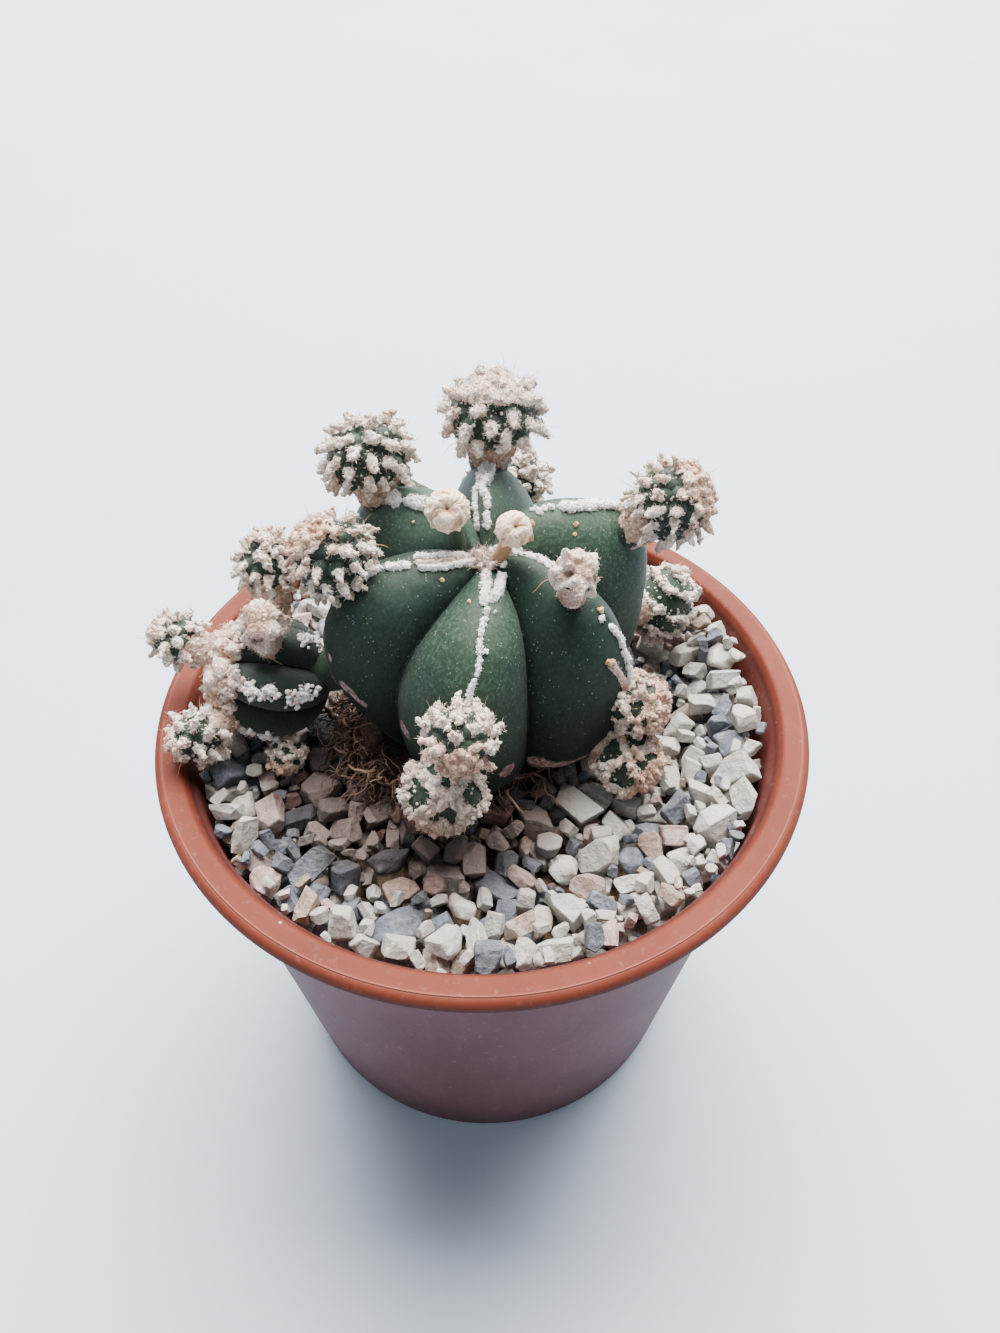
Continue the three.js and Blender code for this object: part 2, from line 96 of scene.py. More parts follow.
# %% [markdown]
# ## Soft daylight and a pale table
# The light is a bright overcast window: a broad key from behind and above on the right, a weaker
# fill from the front, and an even sky. A studio could use one dome light alone, but then the
# furrows of the plant and the gaps in the gravel would lose their depth. The table is a plain
# pale sheet with a faint cool tone, so that its light reaches the sides of the pot.

# %% Light and table
SKY = (0.80, 0.90, 1.0)
SKY_STRENGTH = 0.27
TABLE_HALF = 3.0
LAMPS = [  # name, place, aimed at, size, power in watts, colour
    ("window", (110, 800, 1300), (0, 0, 75), 1650, 235.0, (1.0, 0.985, 0.96)),
    ("room", (-500, -900, 1100), (0, 0, 70), 1200, 5.0, (0.86, 0.93, 1.0)),
]

def add_lamp(name, at, aim, size, power, colour):
    data = bpy.data.lights.new(name, "AREA")
    data.size = size * MM
    data.energy = power
    data.color = colour
    lamp = placed(name, data)
    lamp.location = Vector(at) * MM
    lamp.rotation_euler = (Vector(aim) - Vector(at)).to_track_quat("-Z", "Y").to_euler()

for lamp in LAMPS:
    add_lamp(*lamp)
world = bpy.data.worlds.new("sky")
world.use_nodes = True
background = world.node_tree.nodes["Background"].inputs
background["Color"].default_value = (*SKY, 1)
background["Strength"].default_value = SKY_STRENGTH
bpy.context.scene.world = world
print("lamps:", [lamp[0] for lamp in LAMPS])

# %% [markdown]
# ## Writing node trees as sums
# Shader trees and geometry trees are both graphs of nodes. Drawn by hand they are quick to start
# and hard to read later. Here a thin wrapper turns an output socket into a value that can be
# added, multiplied and subtracted, so a pattern reads as the formula that it is, and one method
# adds any other node: its type, its settings, then what goes into its sockets.

# %% Node helpers
class Wire:
    """An output socket that takes part in arithmetic: every operator adds one Math node."""

    def __init__(self, graph, socket):
        self.graph, self.socket = graph, socket

    def math(self, operation, *values, clamp=False):
        return self.graph.node("ShaderNodeMath", {"operation": operation, "use_clamp": clamp}, values)

    def __add__(self, other): return self.math("ADD", self, other)
    def __radd__(self, other): return self.math("ADD", other, self)
    def __sub__(self, other): return self.math("SUBTRACT", self, other)
    def __rsub__(self, other): return self.math("SUBTRACT", other, self)
    def __mul__(self, other): return self.math("MULTIPLY", self, other)
    def __rmul__(self, other): return self.math("MULTIPLY", other, self)
    def clamp(self): return self.math("ADD", self, 0.0, clamp=True)

    def step(self, low, high, to_low=0.0, to_high=1.0):
        """Rises smoothly from to_low where the value is low to to_high where it is high."""
        return self.graph.node("ShaderNodeMapRange", {"interpolation_type": "SMOOTHSTEP"},
                               (self, low, high, to_low, to_high))


class Graph:
    """A node tree under construction."""

    def __init__(self, tree):
        self.tree = tree

    def node(self, kind, settings=None, inputs=(), out=0):
        """Adds a node, makes its settings, then fills its sockets, and returns one output."""
        node = self.tree.nodes.new(kind)
        for name, value in (settings or {}).items():
            if name == "stops":
                self.set_stops(node.color_ramp, value)
            else:
                setattr(node, name, value)
        self.fill(node, inputs if isinstance(inputs, dict) else dict(enumerate(inputs)))
        self.last = node
        return Wire(self, node.outputs[out])

    def fill(self, node, values):
        """Links or sets sockets of a node, given as a value for each name or number."""
        for socket, value in values.items():
            if isinstance(value, Wire):
                self.tree.links.new(value.socket, node.inputs[socket])
            else:
                node.inputs[socket].default_value = value

    def vector(self, operation, *values, out=0):
        return self.node("ShaderNodeVectorMath", {"operation": operation}, values, out=out)

    @staticmethod
    def set_stops(ramp, stops):
        while len(ramp.elements) > 1:
            ramp.elements.remove(ramp.elements[-1])
        for i, (place, colour) in enumerate(stops):
            element = ramp.elements[0] if i == 0 else ramp.elements.new(place)
            element.position = place
            element.color = (*colour, 1)


class Paint(Graph):
    """A material under construction, with patterns measured in millimetres."""

    def __init__(self, name):
        self.material = bpy.data.materials.new(name)
        self.material.use_nodes = True
        super().__init__(self.material.node_tree)
        self.place = self.scaled(self.node("ShaderNodeTexCoord", out="Object"), 1 / MM)

    def scaled(self, vector, size):
        return self.node("ShaderNodeVectorMath", {"operation": "SCALE"},
                         {"Vector": vector, "Scale": size})

    def attribute(self, name):
        return self.node("ShaderNodeAttribute", {"attribute_name": name}, out="Fac")

    def noise(self, grain, detail, roughness=0.5, at=None):
        """Cloudy noise from 0 to 1, whose grain is a size in millimetres."""
        return self.node("ShaderNodeTexNoise", {}, {
            "Vector": at or self.place, "Scale": 1 / grain, "Detail": detail, "Roughness": roughness})

    def swirl(self, scale, at):
        """Noise with three parts, to shift another pattern by."""
        return self.node("ShaderNodeTexNoise", {}, {"Vector": at, "Scale": scale}, out="Color")

    def cells(self, size, at=None):
        """The distance to the nearest of many scattered points."""
        return self.node("ShaderNodeTexVoronoi", {}, {"Vector": at or self.place, "Scale": 1 / size})

    def mix(self, share, a, b, blend="MIX"):
        """Colour a where share is 0, colour b where it is 1."""
        a, b = ((*c, 1) if isinstance(c, tuple) else c for c in (a, b))
        return self.node("ShaderNodeMix", {"data_type": "RGBA", "blend_type": blend},
                         {0: share, 6: a, 7: b}, out=2)

    def ramp(self, value, *stops):
        return self.node("ShaderNodeValToRGB", {"stops": stops}, (value,))

    def bump(self, height, size, strength):
        """Turns a height from 0 to 1 into a surface relief of that size in millimetres."""
        return self.node("ShaderNodeBump", {},
                         {"Strength": strength, "Distance": size * MM, "Height": height})

    def finish(self, base_color, roughness, **others):
        """Fills the shader's sockets and returns the material."""
        values = {"base_color": base_color, "roughness": roughness, **others}
        self.fill(self.tree.nodes["Principled BSDF"],
                  {name.replace("_", " ").title().replace("Ior", "IOR"): v for name, v in values.items()})
        return self.material

print("node helpers ready")

# %% [markdown]
# ## Turning arrays into pieces
# Most pieces are grids of points worked out by a rule, so one helper makes a mesh from points,
# faces and values per point, and another says which solid of the frame the piece stands for.
# Roughness that is too big for a bump map is added to the points themselves, with a noise that
# gives the same result on every run.

# %% Mesh helpers
def set_values(mesh, **attributes):
    """Gives a mesh one value, one whole number or one vector per point for each attribute."""
    for key, values in attributes.items():
        values = np.asarray(values)
        kind = "FLOAT_VECTOR" if values.ndim > 1 else "INT" if values.dtype == np.int32 else "FLOAT"
        store = mesh.attributes.new(key, kind, "POINT").data
        store.foreach_set("vector" if values.ndim > 1 else "value",
                          values.ravel().astype(np.int32 if kind == "INT" else np.float32))

def mesh_from(name, points, faces, edges=(), **attributes):
    """A mesh from points in millimetres, with values for its points."""
    mesh = bpy.data.meshes.new(name)
    faces = faces.tolist() if isinstance(faces, np.ndarray) else faces
    mesh.from_pydata((np.asarray(points, float) * MM).tolist(), edges, faces)
    mesh.polygons.foreach_set("use_smooth", np.ones(len(faces), bool))
    set_values(mesh, **attributes)
    mesh.update()
    return mesh

def mesh_of(bm, name):
    """A mesh from a bmesh, which is used up."""
    mesh = bpy.data.meshes.new(name)
    bm.to_mesh(mesh)
    bm.free()
    return mesh

def evaluated(thing):
    """What an object's modifiers make of it, as a plain mesh."""
    return bpy.data.meshes.new_from_object(thing.evaluated_get(bpy.context.evaluated_depsgraph_get()))

def show(name, mesh, material, slot, *nodes):
    """Puts a finished mesh in the scene in place of the frame's nodes."""
    mesh.materials.clear()
    mesh.materials.append(material)
    piece = placed(name, mesh)
    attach(piece, "root")
    if nodes:
        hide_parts(*nodes)
    return piece

def round_angles(count):
    return np.arange(count) * 2 * np.pi / count

def loft(rings, first, last):
    """A closed skin over rings of points, with a fan to a point at each end."""
    rings = np.asarray(rings, float)
    rows, columns = rings.shape[:2]
    points = np.vstack([[first], rings.reshape(-1, 3), [last]])
    row, column = np.meshgrid(1 + columns * np.arange(rows - 1), np.arange(columns), indexing="ij")
    a, b = row + column, row + (column + 1) % columns
    faces = np.stack([a, a + columns, b + columns, b], -1).reshape(-1, 4).tolist()
    end, base = len(points) - 1, 1 + (rows - 1) * columns
    faces += [(0, 1 + i, 1 + (i + 1) % columns) for i in range(columns)]
    faces += [(end, base + (i + 1) % columns, base + i) for i in range(columns)]
    return points, faces

def hashed(cell, seed):
    """A number from 0 to 1 for each whole-numbered cell, the same on every run."""
    x, y, z = np.moveaxis(cell.astype(np.uint32), -1, 0)
    h = x * np.uint32(73856093) ^ y * np.uint32(19349663) ^ z * np.uint32(83492791)
    h = (h ^ np.uint32(seed * 7919 + 17)) * np.uint32(2654435761)
    h = (h ^ (h >> np.uint32(15))) * np.uint32(2246822519)
    return (h ^ (h >> np.uint32(13))).astype(float) / 2 ** 32

def rough(points, grain, seed):
    """Smooth noise from -1 to 1 at points in millimetres. Grain is the size of its lumps."""
    p = np.asarray(points, float) / grain
    cell = np.floor(p).astype(np.int64)
    f = p - cell
    f = f * f * (3 - 2 * f)
    total = 0
    for corner in itertools.product((0, 1), repeat=3):
        weight = np.prod(np.where(np.array(corner) == 1, f, 1 - f), axis=-1)
        total = total + weight * hashed(cell + np.array(corner), seed)
    return total * 2 - 1

def smoothstep(x, low, high):
    t = np.clip((x - low) / (high - low), 0, 1)
    return t * t * (3 - 2 * t)

def unit(v):
    v = np.asarray(v, float)
    return v / np.linalg.norm(v, axis=-1, keepdims=True)

def basis(direction):
    """Three unit vectors: two across a direction, and the direction itself."""
    w = unit(direction)
    u = unit(np.cross(w, (0, 0, 1) if abs(w[2]) < 0.9 else (0, 1, 0)))
    return u, np.cross(w, u), w

print("mesh helpers ready")

# %% [markdown]
# ## Table finish
# A pale painted board, matte, with only a breath of unevenness so that it doesn't look computed.

# %% Table
def table_paint():
    p = Paint("table")
    cloud = p.noise(90, 2)
    return p.finish(p.mix(cloud, (0.36, 0.42, 0.50), (0.42, 0.48, 0.56)), cloud.step(0, 1, 0.6, 0.75),
                    normal=p.bump(p.noise(1.2, 4), 0.05, 0.3))

def make_table():
    half = TABLE_HALF / MM
    corners = [(-half, -half, 0), (half, -half, 0), (half, half, 0), (-half, half, 0)]
    mesh = mesh_from("table", corners, [(0, 1, 2, 3)])
    mesh.materials.append(table_paint())
    table = placed("table", mesh)

make_table()
print("table:", 2 * TABLE_HALF, "m wide")

# %% [markdown]
# ## The pot
# The pot is a thin injection-moulded shell: a tapered wall, a flat rim that rolls over into a
# lip, and a base with six drainage holes. It could be extruded and bevelled, but every section
# through it is the same, so it is one profile turned round the axis. The corners of the profile
# are short arcs, because the highlight that runs round the lip needs a true curve. The holes are
# cut afterwards with a boolean.

# %% Pot shell
POT_HEIGHT, RIM_RADIUS, NECK_RADIUS, FOOT_RADIUS = 70.0, 45.0, 41.2, 33.4
RIM_DEPTH, RIM_BAND, WALL, BASE = 2.0, 2.0, 1.1, 1.3
POT_SEGMENTS = 192
DRAIN_HOLES, DRAIN_CIRCLE, DRAIN_RADIUS, DRAIN_SEGMENTS = 6, 23.0, 3.0, 28
SHARP_ANGLE = math.radians(40)
SLOPE = (NECK_RADIUS - FOOT_RADIUS) / (POT_HEIGHT - RIM_DEPTH)

def wall_inside(z):
    return FOOT_RADIUS + SLOPE * z - WALL

def arc(centre, radius, start, end, count=5):
    """Points on an arc of the profile, from one angle to another in degrees."""
    return [(centre[0] + radius * math.cos(a), centre[1] + radius * math.sin(a))
            for a in np.radians(np.linspace(start, end, count))]

def pot_profile():
    h, r = POT_HEIGHT, RIM_RADIUS
    outside = [(0, 0), (FOOT_RADIUS - 4, 0), (FOOT_RADIUS - 1.2, 0)]
    outside += arc((FOOT_RADIUS - 0.75, 0.8), 0.8, -85, 0)
    outside += [(FOOT_RADIUS + SLOPE * z, z) for z in np.linspace(3, h - RIM_DEPTH - 1.5, 16)]
    under_lip = arc((NECK_RADIUS + 0.75, h - 1.75), 0.6, 190, 100, 5)
    under_lip += [(r - 1.6, h - 1.15)] + arc((r - 0.72, h - RIM_DEPTH + 0.35), 0.34, 170, 280, 6)
    lip = arc((r - 0.42, h - RIM_DEPTH + 0.42), 0.42, 285, 350, 4)
    lip += arc((r - 1.25, h - 1.35), 1.25, 5, 78, 9)
    crease = r - 1.1
    brink = crease - RIM_BAND
    top = arc((crease, h - 0.06), 0.07, 60, 150, 4)
    top += [(crease - 0.25, h - 0.05), (crease - RIM_BAND / 2, h - 0.02), (brink + 0.2, h - 0.04)]
    top += arc((brink, h - 0.8), 0.75, 88, 165, 6)
    inside = [(wall_inside(z), z) for z in np.linspace(h - 2.4, BASE + 2.4, 14)]
    inside += arc((wall_inside(BASE) - 1.8, BASE + 1.8), 1.8, 0, -90)
    return np.array(outside + under_lip + lip + top + inside + [(0, BASE)])

def turned(profile, segments):
    """A profile of radius and height turned round the axis. Its ends are on the axis."""
    angle = round_angles(segments)
    ring = np.stack([np.cos(angle), np.sin(angle), np.zeros(segments)], -1)
    rings = [ring * r + (0, 0, z) for r, z in profile[1:-1]]
    points, faces = loft(rings, (0, 0, profile[0][1]), (0, 0, profile[-1][1]))
    return points, [f[::-1] for f in faces]

def drilled(mesh, holes, radius, depth):
    """The mesh with round holes cut through it along Z."""
    target = placed("target", mesh)
    drill = bmesh.new()
    for x, y in holes:
        bmesh.ops.create_cone(drill, cap_ends=True, segments=DRAIN_SEGMENTS, radius1=radius * MM,
                              radius2=radius * MM, depth=depth * MM,
                              matrix=Matrix.Translation((x * MM, y * MM, 0)))
    tool = placed("drill", mesh_of(drill, "drill"))
    cut = target.modifiers.new("holes", "BOOLEAN")
    cut.object, cut.operation, cut.solver = tool, "DIFFERENCE", "EXACT"
    done = evaluated(target)
    for o in (target, tool):
        bpy.data.objects.remove(o)
    return done

# %% [markdown]
# ## Pot plastic
# The rim is brick red, with a painted highlight along the thin crease of its outer edge and
# painted shade under the lip. The wall is brown plastic painted mauve, a painted reflection of
# cool light, and the inside is painted a darker red as shade. Handling leaves a haze of fine
# scuffs that shows in the roughness, grit leaves a few pale specks, and watering leaves faint
# streaks of dust.

# %% Pot plastic
def pot_paint():
    p = Paint("pot_plastic")
    height = p.node("ShaderNodeSeparateXYZ", {}, (p.place,), out="Z")
    away = p.vector("LENGTH", p.vector("MULTIPLY", p.place, (1, 1, 0)), out="Value")
    rim = height.step(POT_HEIGHT - RIM_DEPTH - 0.9, POT_HEIGHT - RIM_DEPTH - 0.2) * away.step(40.1, 40.7)
    inside = (height * SLOPE + FOOT_RADIUS - away).step(0.2, 0.7) * (1 - rim)
    cloud = p.noise(14, 3)
    fine = p.noise(1.1, 5, 0.65)
    streak = p.noise(2.2, 3, at=p.vector("MULTIPLY", p.place, (1, 1, 0.12)))
    # The mauve of the wall is a painted reflection of cool light over the brown plastic.
    wall_and_cool_reflection = p.mix(cloud.step(0.3, 0.7), (0.092, 0.040, 0.051), (0.110, 0.048, 0.060))
    lip = p.mix(cloud.step(0.3, 0.7), (0.104, 0.0225, 0.0125), (0.130, 0.029, 0.0165))
    # Painted shade: the inside of the pot is a darker red than the rim.
    colour = p.mix(rim, p.mix(inside, wall_and_cool_reflection, (0.085, 0.022, 0.018)), lip)
    # Painted highlight: a lighter line along the crease at the outer edge of the rim.
    crease = away.step(43.62, 43.84) * away.step(44.20, 43.98)
    colour = p.mix(crease * rim * 0.32, colour, (0.26, 0.10, 0.075))
    # Painted shade under the lip.
    under_lip = height.step(POT_HEIGHT - 0.75, POT_HEIGHT - 1.5)
    colour = p.mix(rim * under_lip * 0.72, colour, (0.030, 0.010, 0.012))
    dust = (fine.step(0.55, 0.8) * 0.25 + streak.step(0.55, 0.8) * 0.05) * (1 - 0.6 * rim)
    colour = p.mix(dust, colour, (0.42, 0.33, 0.33))
    speck = p.cells(2.6).step(0.10, 0.045) * p.noise(6, 1).step(0.5, 0.62)
    colour = p.mix(speck * (0.25 + 0.3 * rim), colour, (0.55, 0.42, 0.38))
    roughness = 0.44 + 0.16 * fine + 0.12 * dust + 0.10 * rim
    relief = fine * 0.4 + p.noise(0.35, 2) * 0.25
    return p.finish(colour, roughness, normal=p.bump(relief, 0.03, 0.6), ior=1.49,
                    specular_ior_level=0.10)

def make_pot():
    points, faces = turned(pot_profile(), POT_SEGMENTS)
    angles = (np.arange(DRAIN_HOLES) + 0.5) * 2 * np.pi / DRAIN_HOLES
    holes = [(DRAIN_CIRCLE * math.cos(a), DRAIN_CIRCLE * math.sin(a)) for a in angles]
    mesh = drilled(mesh_from("pot", points, faces), holes, DRAIN_RADIUS, 4 * BASE)
    mesh.set_sharp_from_angle(angle=SHARP_ANGLE)
    return show("pot_shell", mesh, pot_paint(), "pot_plastic", "pot")

pot = make_pot()
print("pot:", len(pot.data.polygons), "faces")

# %% [markdown]
# ## The stem
# The stem is one body whose shape follows a rule: a crest line for each rib, a furrow line
# between neighbours, and a swelling flank that joins them. Sculpting could give the same shape
# once, but the wool, the scars and the offsets all have to sit exactly on it, so a formula that
# can be asked for any point of the skin is worth more. The growing point lies in a small hollow
# at the top, where all the ribs meet.

# %% Stem formula
STEM_AXIS = np.array((0.7, 2.0))
APEX_Z, APEX_HOLLOW = 93.2, 3.2
FOOT_R, FOOT_Z = 12.5, 64.8
RIBS = {  # crest azimuth at apex and shoulder, reach, top, widest height, squareness
    "northeast": (46, 23, 23.8, 97.0, 82.0, 3.6),
    "north": (91, 88, 21.5, 99.5, 84.0, 3.2),
    "northwest": (116, 142, 23.0, 97.8, 82.0, 3.4),
    "west": (184, 189, 21.5, 95.0, 79.5, 3.0),
    "south": (282, 261, 18.6, 93.6, 76.0, 2.7),
    "southeast": (344, 333, 20.2, 95.0, 77.0, 2.6),
}
FURROWS = {  # the furrow after each rib: azimuth at apex and shoulder, reach as a share
    "northeast": (70, 56, 0.68), "north": (103, 112, 0.68), "northwest": (150, 166, 0.68),
    "west": (236, 220, 0.76), "south": (312, 292, 0.68), "southeast": (375, 358, 0.68),
}
ORDER = list(RIBS)
FOOT_POWER = 2 / 2.3
UNDERCUT = {"west": 1.75}  # ribs whose underside runs in more steeply, and by how much

def meridian(t, reach, top, waist, square, foot_r, undercut=1.0):
    """Distance from the axis and height along a line from the apex, t = 0, to the foot, t = 1."""
    t = np.asarray(t, float)
    a, b = np.pi * np.minimum(t, 0.5), np.pi * np.maximum(t - 0.5, 0)
    r_top = reach * np.sin(a) ** (2 / square)
    z_top = waist + (top - waist) * np.maximum(np.cos(a), 0) ** (2 / square)
    z_top = z_top - (top - APEX_Z) * np.exp(-(r_top / APEX_HOLLOW) ** 2)
    power = FOOT_POWER * undercut
    r_low = foot_r + (reach - foot_r) * np.maximum(np.cos(b), 0) ** power
    z_low = waist - (waist - FOOT_Z) * np.sin(b) ** power
    return np.where(t < 0.5, r_top, r_low), np.where(t < 0.5, z_top, z_low)

def turning(azimuths, r, reach, t):
    share = np.where(np.asarray(t) < 0.5, np.minimum(r / reach, 1), 1)
    return np.radians(azimuths[0] + (azimuths[1] - azimuths[0]) * share)

def crest_line(rib, t):
    az0, az1, reach, top, waist, square = RIBS[rib]
    r, z = meridian(t, reach, top, waist, square, FOOT_R, UNDERCUT.get(rib, 1.0))
    return r, z, turning((az0, az1), r, reach, t)

def furrow_line(rib, other, t):
    az0, az1, share = FURROWS[rib]
    a, b = RIBS[rib], RIBS[other]
    reach = share * (a[2] + b[2]) / 2
    r, z = meridian(t, reach, min(a[3], b[3]) - 1, (a[4] + b[4]) / 2 - 1, 2, FOOT_R * 0.8)
    return r, z, turning((az0, az1), r, reach, t)

def skin(rib, t, u):
    """A point of the skin: t runs from apex to foot, u from furrow -1 over crest 0 to furrow 1."""
    t, u = np.broadcast_arrays(np.asarray(t, float), np.asarray(u, float))
    i = ORDER.index(rib)
    r, z, azimuth = crest_line(rib, t)
    edges = [furrow_line(ORDER[i - 1], rib, t), furrow_line(rib, ORDER[(i + 1) % 6], t)]
    er, ez, ea = (np.where(u < 0, before, after) for before, after in zip(*edges))
    turn = (ea - azimuth + np.pi) % (2 * np.pi) - np.pi
    v = np.abs(u)
    swell = 0.72 * np.cos(v * np.pi / 2) ** 0.75 + 0.28 * (1 - v)
    rr, zz, aa = er + (r - er) * swell, ez + (z - ez) * swell, azimuth + turn * v
    return np.stack([STEM_AXIS[0] + rr * np.cos(aa), STEM_AXIS[1] + rr * np.sin(aa), zz], -1)

print("crest of the south rib at its widest:", skin("south", 0.5, 0.0).round(1))

# %% [markdown]
# ## Skin finish
# The skin is deep green under a thin grey bloom. The bloom is thickest on the shoulders and
# thinner low down. Painted shade turns the stem blue-black low down and darkens the furrows, and
# a value per rib paints light on the north side, strongest on the northwest rib, and shade on
# the west and southeast ribs. Hundreds of pale flecks, each a tuft of a few hairs, are scattered
# over it. Old cork shows as pinkish scars, which an attribute on the points marks out.

# %% Skin paint
def skin_paint():
    p = Paint("cactus_skin")
    across, down, scar, bloom = (p.attribute(n) for n in ("across", "down", "scar", "bloom"))
    cloud = p.noise(7, 3, 0.55)
    fine = p.noise(0.45, 4, 0.6)
    low = down.step(0.42, 0.68)
    green = p.mix(cloud.step(0.3, 0.7), (0.015, 0.033, 0.020), (0.025, 0.048, 0.027))
    crown = down.step(0.30, 0.04) * (1 - across).step(0.25, 0.95)
    green = p.mix(crown * 0.55, green, (0.052, 0.078, 0.046))
    # Painted shade: the lower stem is darkened to blue-black.
    green = p.mix(low * 0.85, green, (0.006, 0.013, 0.013))
    # Painted shade in the furrows.
    green = p.mix(across.step(0.78, 1.0) * 0.7, green, (0.007, 0.014, 0.011))
    # The bloom value per rib also paints shade on the west and southeast ribs and light on the northwest,
    # north and northeast ribs.
    green = p.mix((1 - bloom) * 0.72, green, (0.004, 0.013, 0.009))
    powder = fine.step(0.42, 0.72) * (1 - low * 0.75) * (0.07 + 0.33 * bloom)
    green = p.mix(powder, green, (0.085, 0.150, 0.116))
    green = p.mix((bloom - 1).clamp() * 0.5, green, (0.078, 0.128, 0.098))
    flecks = p.cells(0.62).step(0.20, 0.09) * p.noise(1.6, 2).step(0.42, 0.62)
    big_flecks = p.cells(1.9).step(0.10, 0.055) * p.noise(5, 1).step(0.4, 0.6)
    pale = (flecks * 0.5 + big_flecks * 0.36).clamp() * (1 - low * 0.55)
    colour = p.mix(pale, green, (0.30, 0.35, 0.32))
    cork = p.ramp(p.noise(0.8, 5, 0.7), (0.35, (0.10, 0.055, 0.045)), (0.52, (0.34, 0.22, 0.20)),
                  (0.68, (0.60, 0.50, 0.48)))
    mask = (scar + (p.noise(0.7, 3, 0.7) - 0.5) * 0.9).step(0.42, 0.58)
    colour = p.mix(mask, colour, cork)
    roughness = (0.50 + fine * 0.18 + pale * 0.2 + mask * 0.25 - low * 0.08).clamp()
    relief = p.bump(p.noise(0.16, 3, 0.6) * 0.5 + pale * 0.8 + mask * p.noise(0.5, 4) * 2.5, 0.08, 0.7)
    return p.finish(colour, roughness, normal=relief, ior=1.40, specular_ior_level=0.28,
                    sheen_weight=0.05, sheen_roughness=0.45)

cactus_skin = skin_paint()
print("skin:", len(cactus_skin.node_tree.nodes), "nodes")

# %% Stem mesh
STEM_ROWS, HALF_RIB = 150, 24
ROW_CROWDING, CREST_CROWDING = 1.35, 1.25  # rows stand closer at the apex, columns at the furrows
# Besides the powder, these values paint light on the ribs above 1 and shade on the ribs near 0.
RIB_BLOOM_AND_LIGHT = (1.05, 1.2, 1.85, 0.1, 0.85, 0.08)  # how powdery each rib is, in their order
SCARS = [  # rib, t, u, size in mm: cork on the lower flanks
    ("west", 0.50, 0.42, 1.2), ("west", 0.51, 0.52, 1.0), ("west", 0.53, 0.64, 0.9),
    ("west", 0.47, 0.20, 0.7), ("west", 0.58, 0.12, 1.8), ("southeast", 0.72, -0.85, 2.0),
    ("southeast", 0.74, -0.62, 1.8), ("southeast", 0.76, -0.40, 2.2), ("south", 0.51, -0.78, 1.6),
    ("south", 0.60, 0.55, 1.5), ("northeast", 0.75, -0.4, 3.0),
    ("north", 0.80, 0.3, 3.0), ("northwest", 0.78, -0.3, 3.4), ("west", 0.80, 0.3, 3.4),
    ("northeast", 0.135, -0.45, 0.35), ("north", 0.17, -0.62, 0.3),
]

def make_stem():
    t = np.linspace(0, 1, STEM_ROWS)[1:-1] ** ROW_CROWDING
    u = np.linspace(-1, 1, 2 * HALF_RIB + 1)[:-1]
    u = np.sign(u) * (1 - (1 - np.abs(u)) ** CREST_CROWDING)
    ribs = [skin(rib, t[:, None], u[None, :]) for rib in ORDER]
    rings = np.concatenate(ribs, axis=1)
    points, faces = loft(rings, (*STEM_AXIS, APEX_Z), (*STEM_AXIS, FOOT_Z))
    across = np.abs(np.tile(u, (len(t), len(ORDER))))
    down = np.repeat(t[:, None], rings.shape[1], 1)
    across, down = (np.concatenate([[0], a.ravel(), [end]]) for a, end in ((across, 0), (down, 1)))
    bloom = np.repeat(RIB_BLOOM_AND_LIGHT, rings.shape[1] // len(RIB_BLOOM_AND_LIGHT))
    bloom = np.concatenate([[0.5], np.tile(bloom, len(t)), [0]])
    scar = np.zeros(len(points))
    for rib, at, side, size in SCARS:
        gap = np.linalg.norm(points - skin(rib, at, side), axis=1)
        scar = np.maximum(scar, np.exp(-(gap / size) ** 2))
    scar = np.maximum(scar, smoothstep(down, 0.80, 0.97) * 0.75)
    outward = unit(points - (*STEM_AXIS, 80))
    points = points + outward * (0.10 * rough(points, 3.0, 3) + 0.05 * rough(points, 1.1, 4)
                                 + 0.14 * scar * rough(points, 0.6, 5))[:, None]
    mesh = mesh_from("stem", points, faces, across=across, down=down, scar=scar, bloom=bloom)
    return show("stem_body", mesh, cactus_skin, "cactus_skin", "stem")

stem = make_stem()
print("stem:", len(stem.data.polygons), "faces")

# %% [markdown]
# ## Chips of stone
# The top layer is crushed stone of 3 to 9 mm with a few finer splinters. Crushed stone breaks
# along flat planes and then wears at its corners, so each chip starts as a block, loses its
# corners to a few random cuts, and gets a narrow bevel. Twenty shapes in many sizes and turns
# are enough, because no two neighbours show the same side.

# %% Chip shapes
CHIP_SHAPES = 20
CHIP_CUTS = 8
CHIP_BEVEL, CHIP_WELD, BEVEL_WELD = 0.055, 0.03, 0.004
CHIP_WIDTH, CHIP_HEIGHT = (0.52, 0.88), (0.34, 0.62)  # least and most, as shares of the length
CUT_DEPTH = (0.62, 0.86)

def planes_of(bm):
    """The outward normal of each face and its distance from the origin."""
    return np.array([(*f.normal, f.normal.dot(f.calc_center_median())) for f in bm.faces])

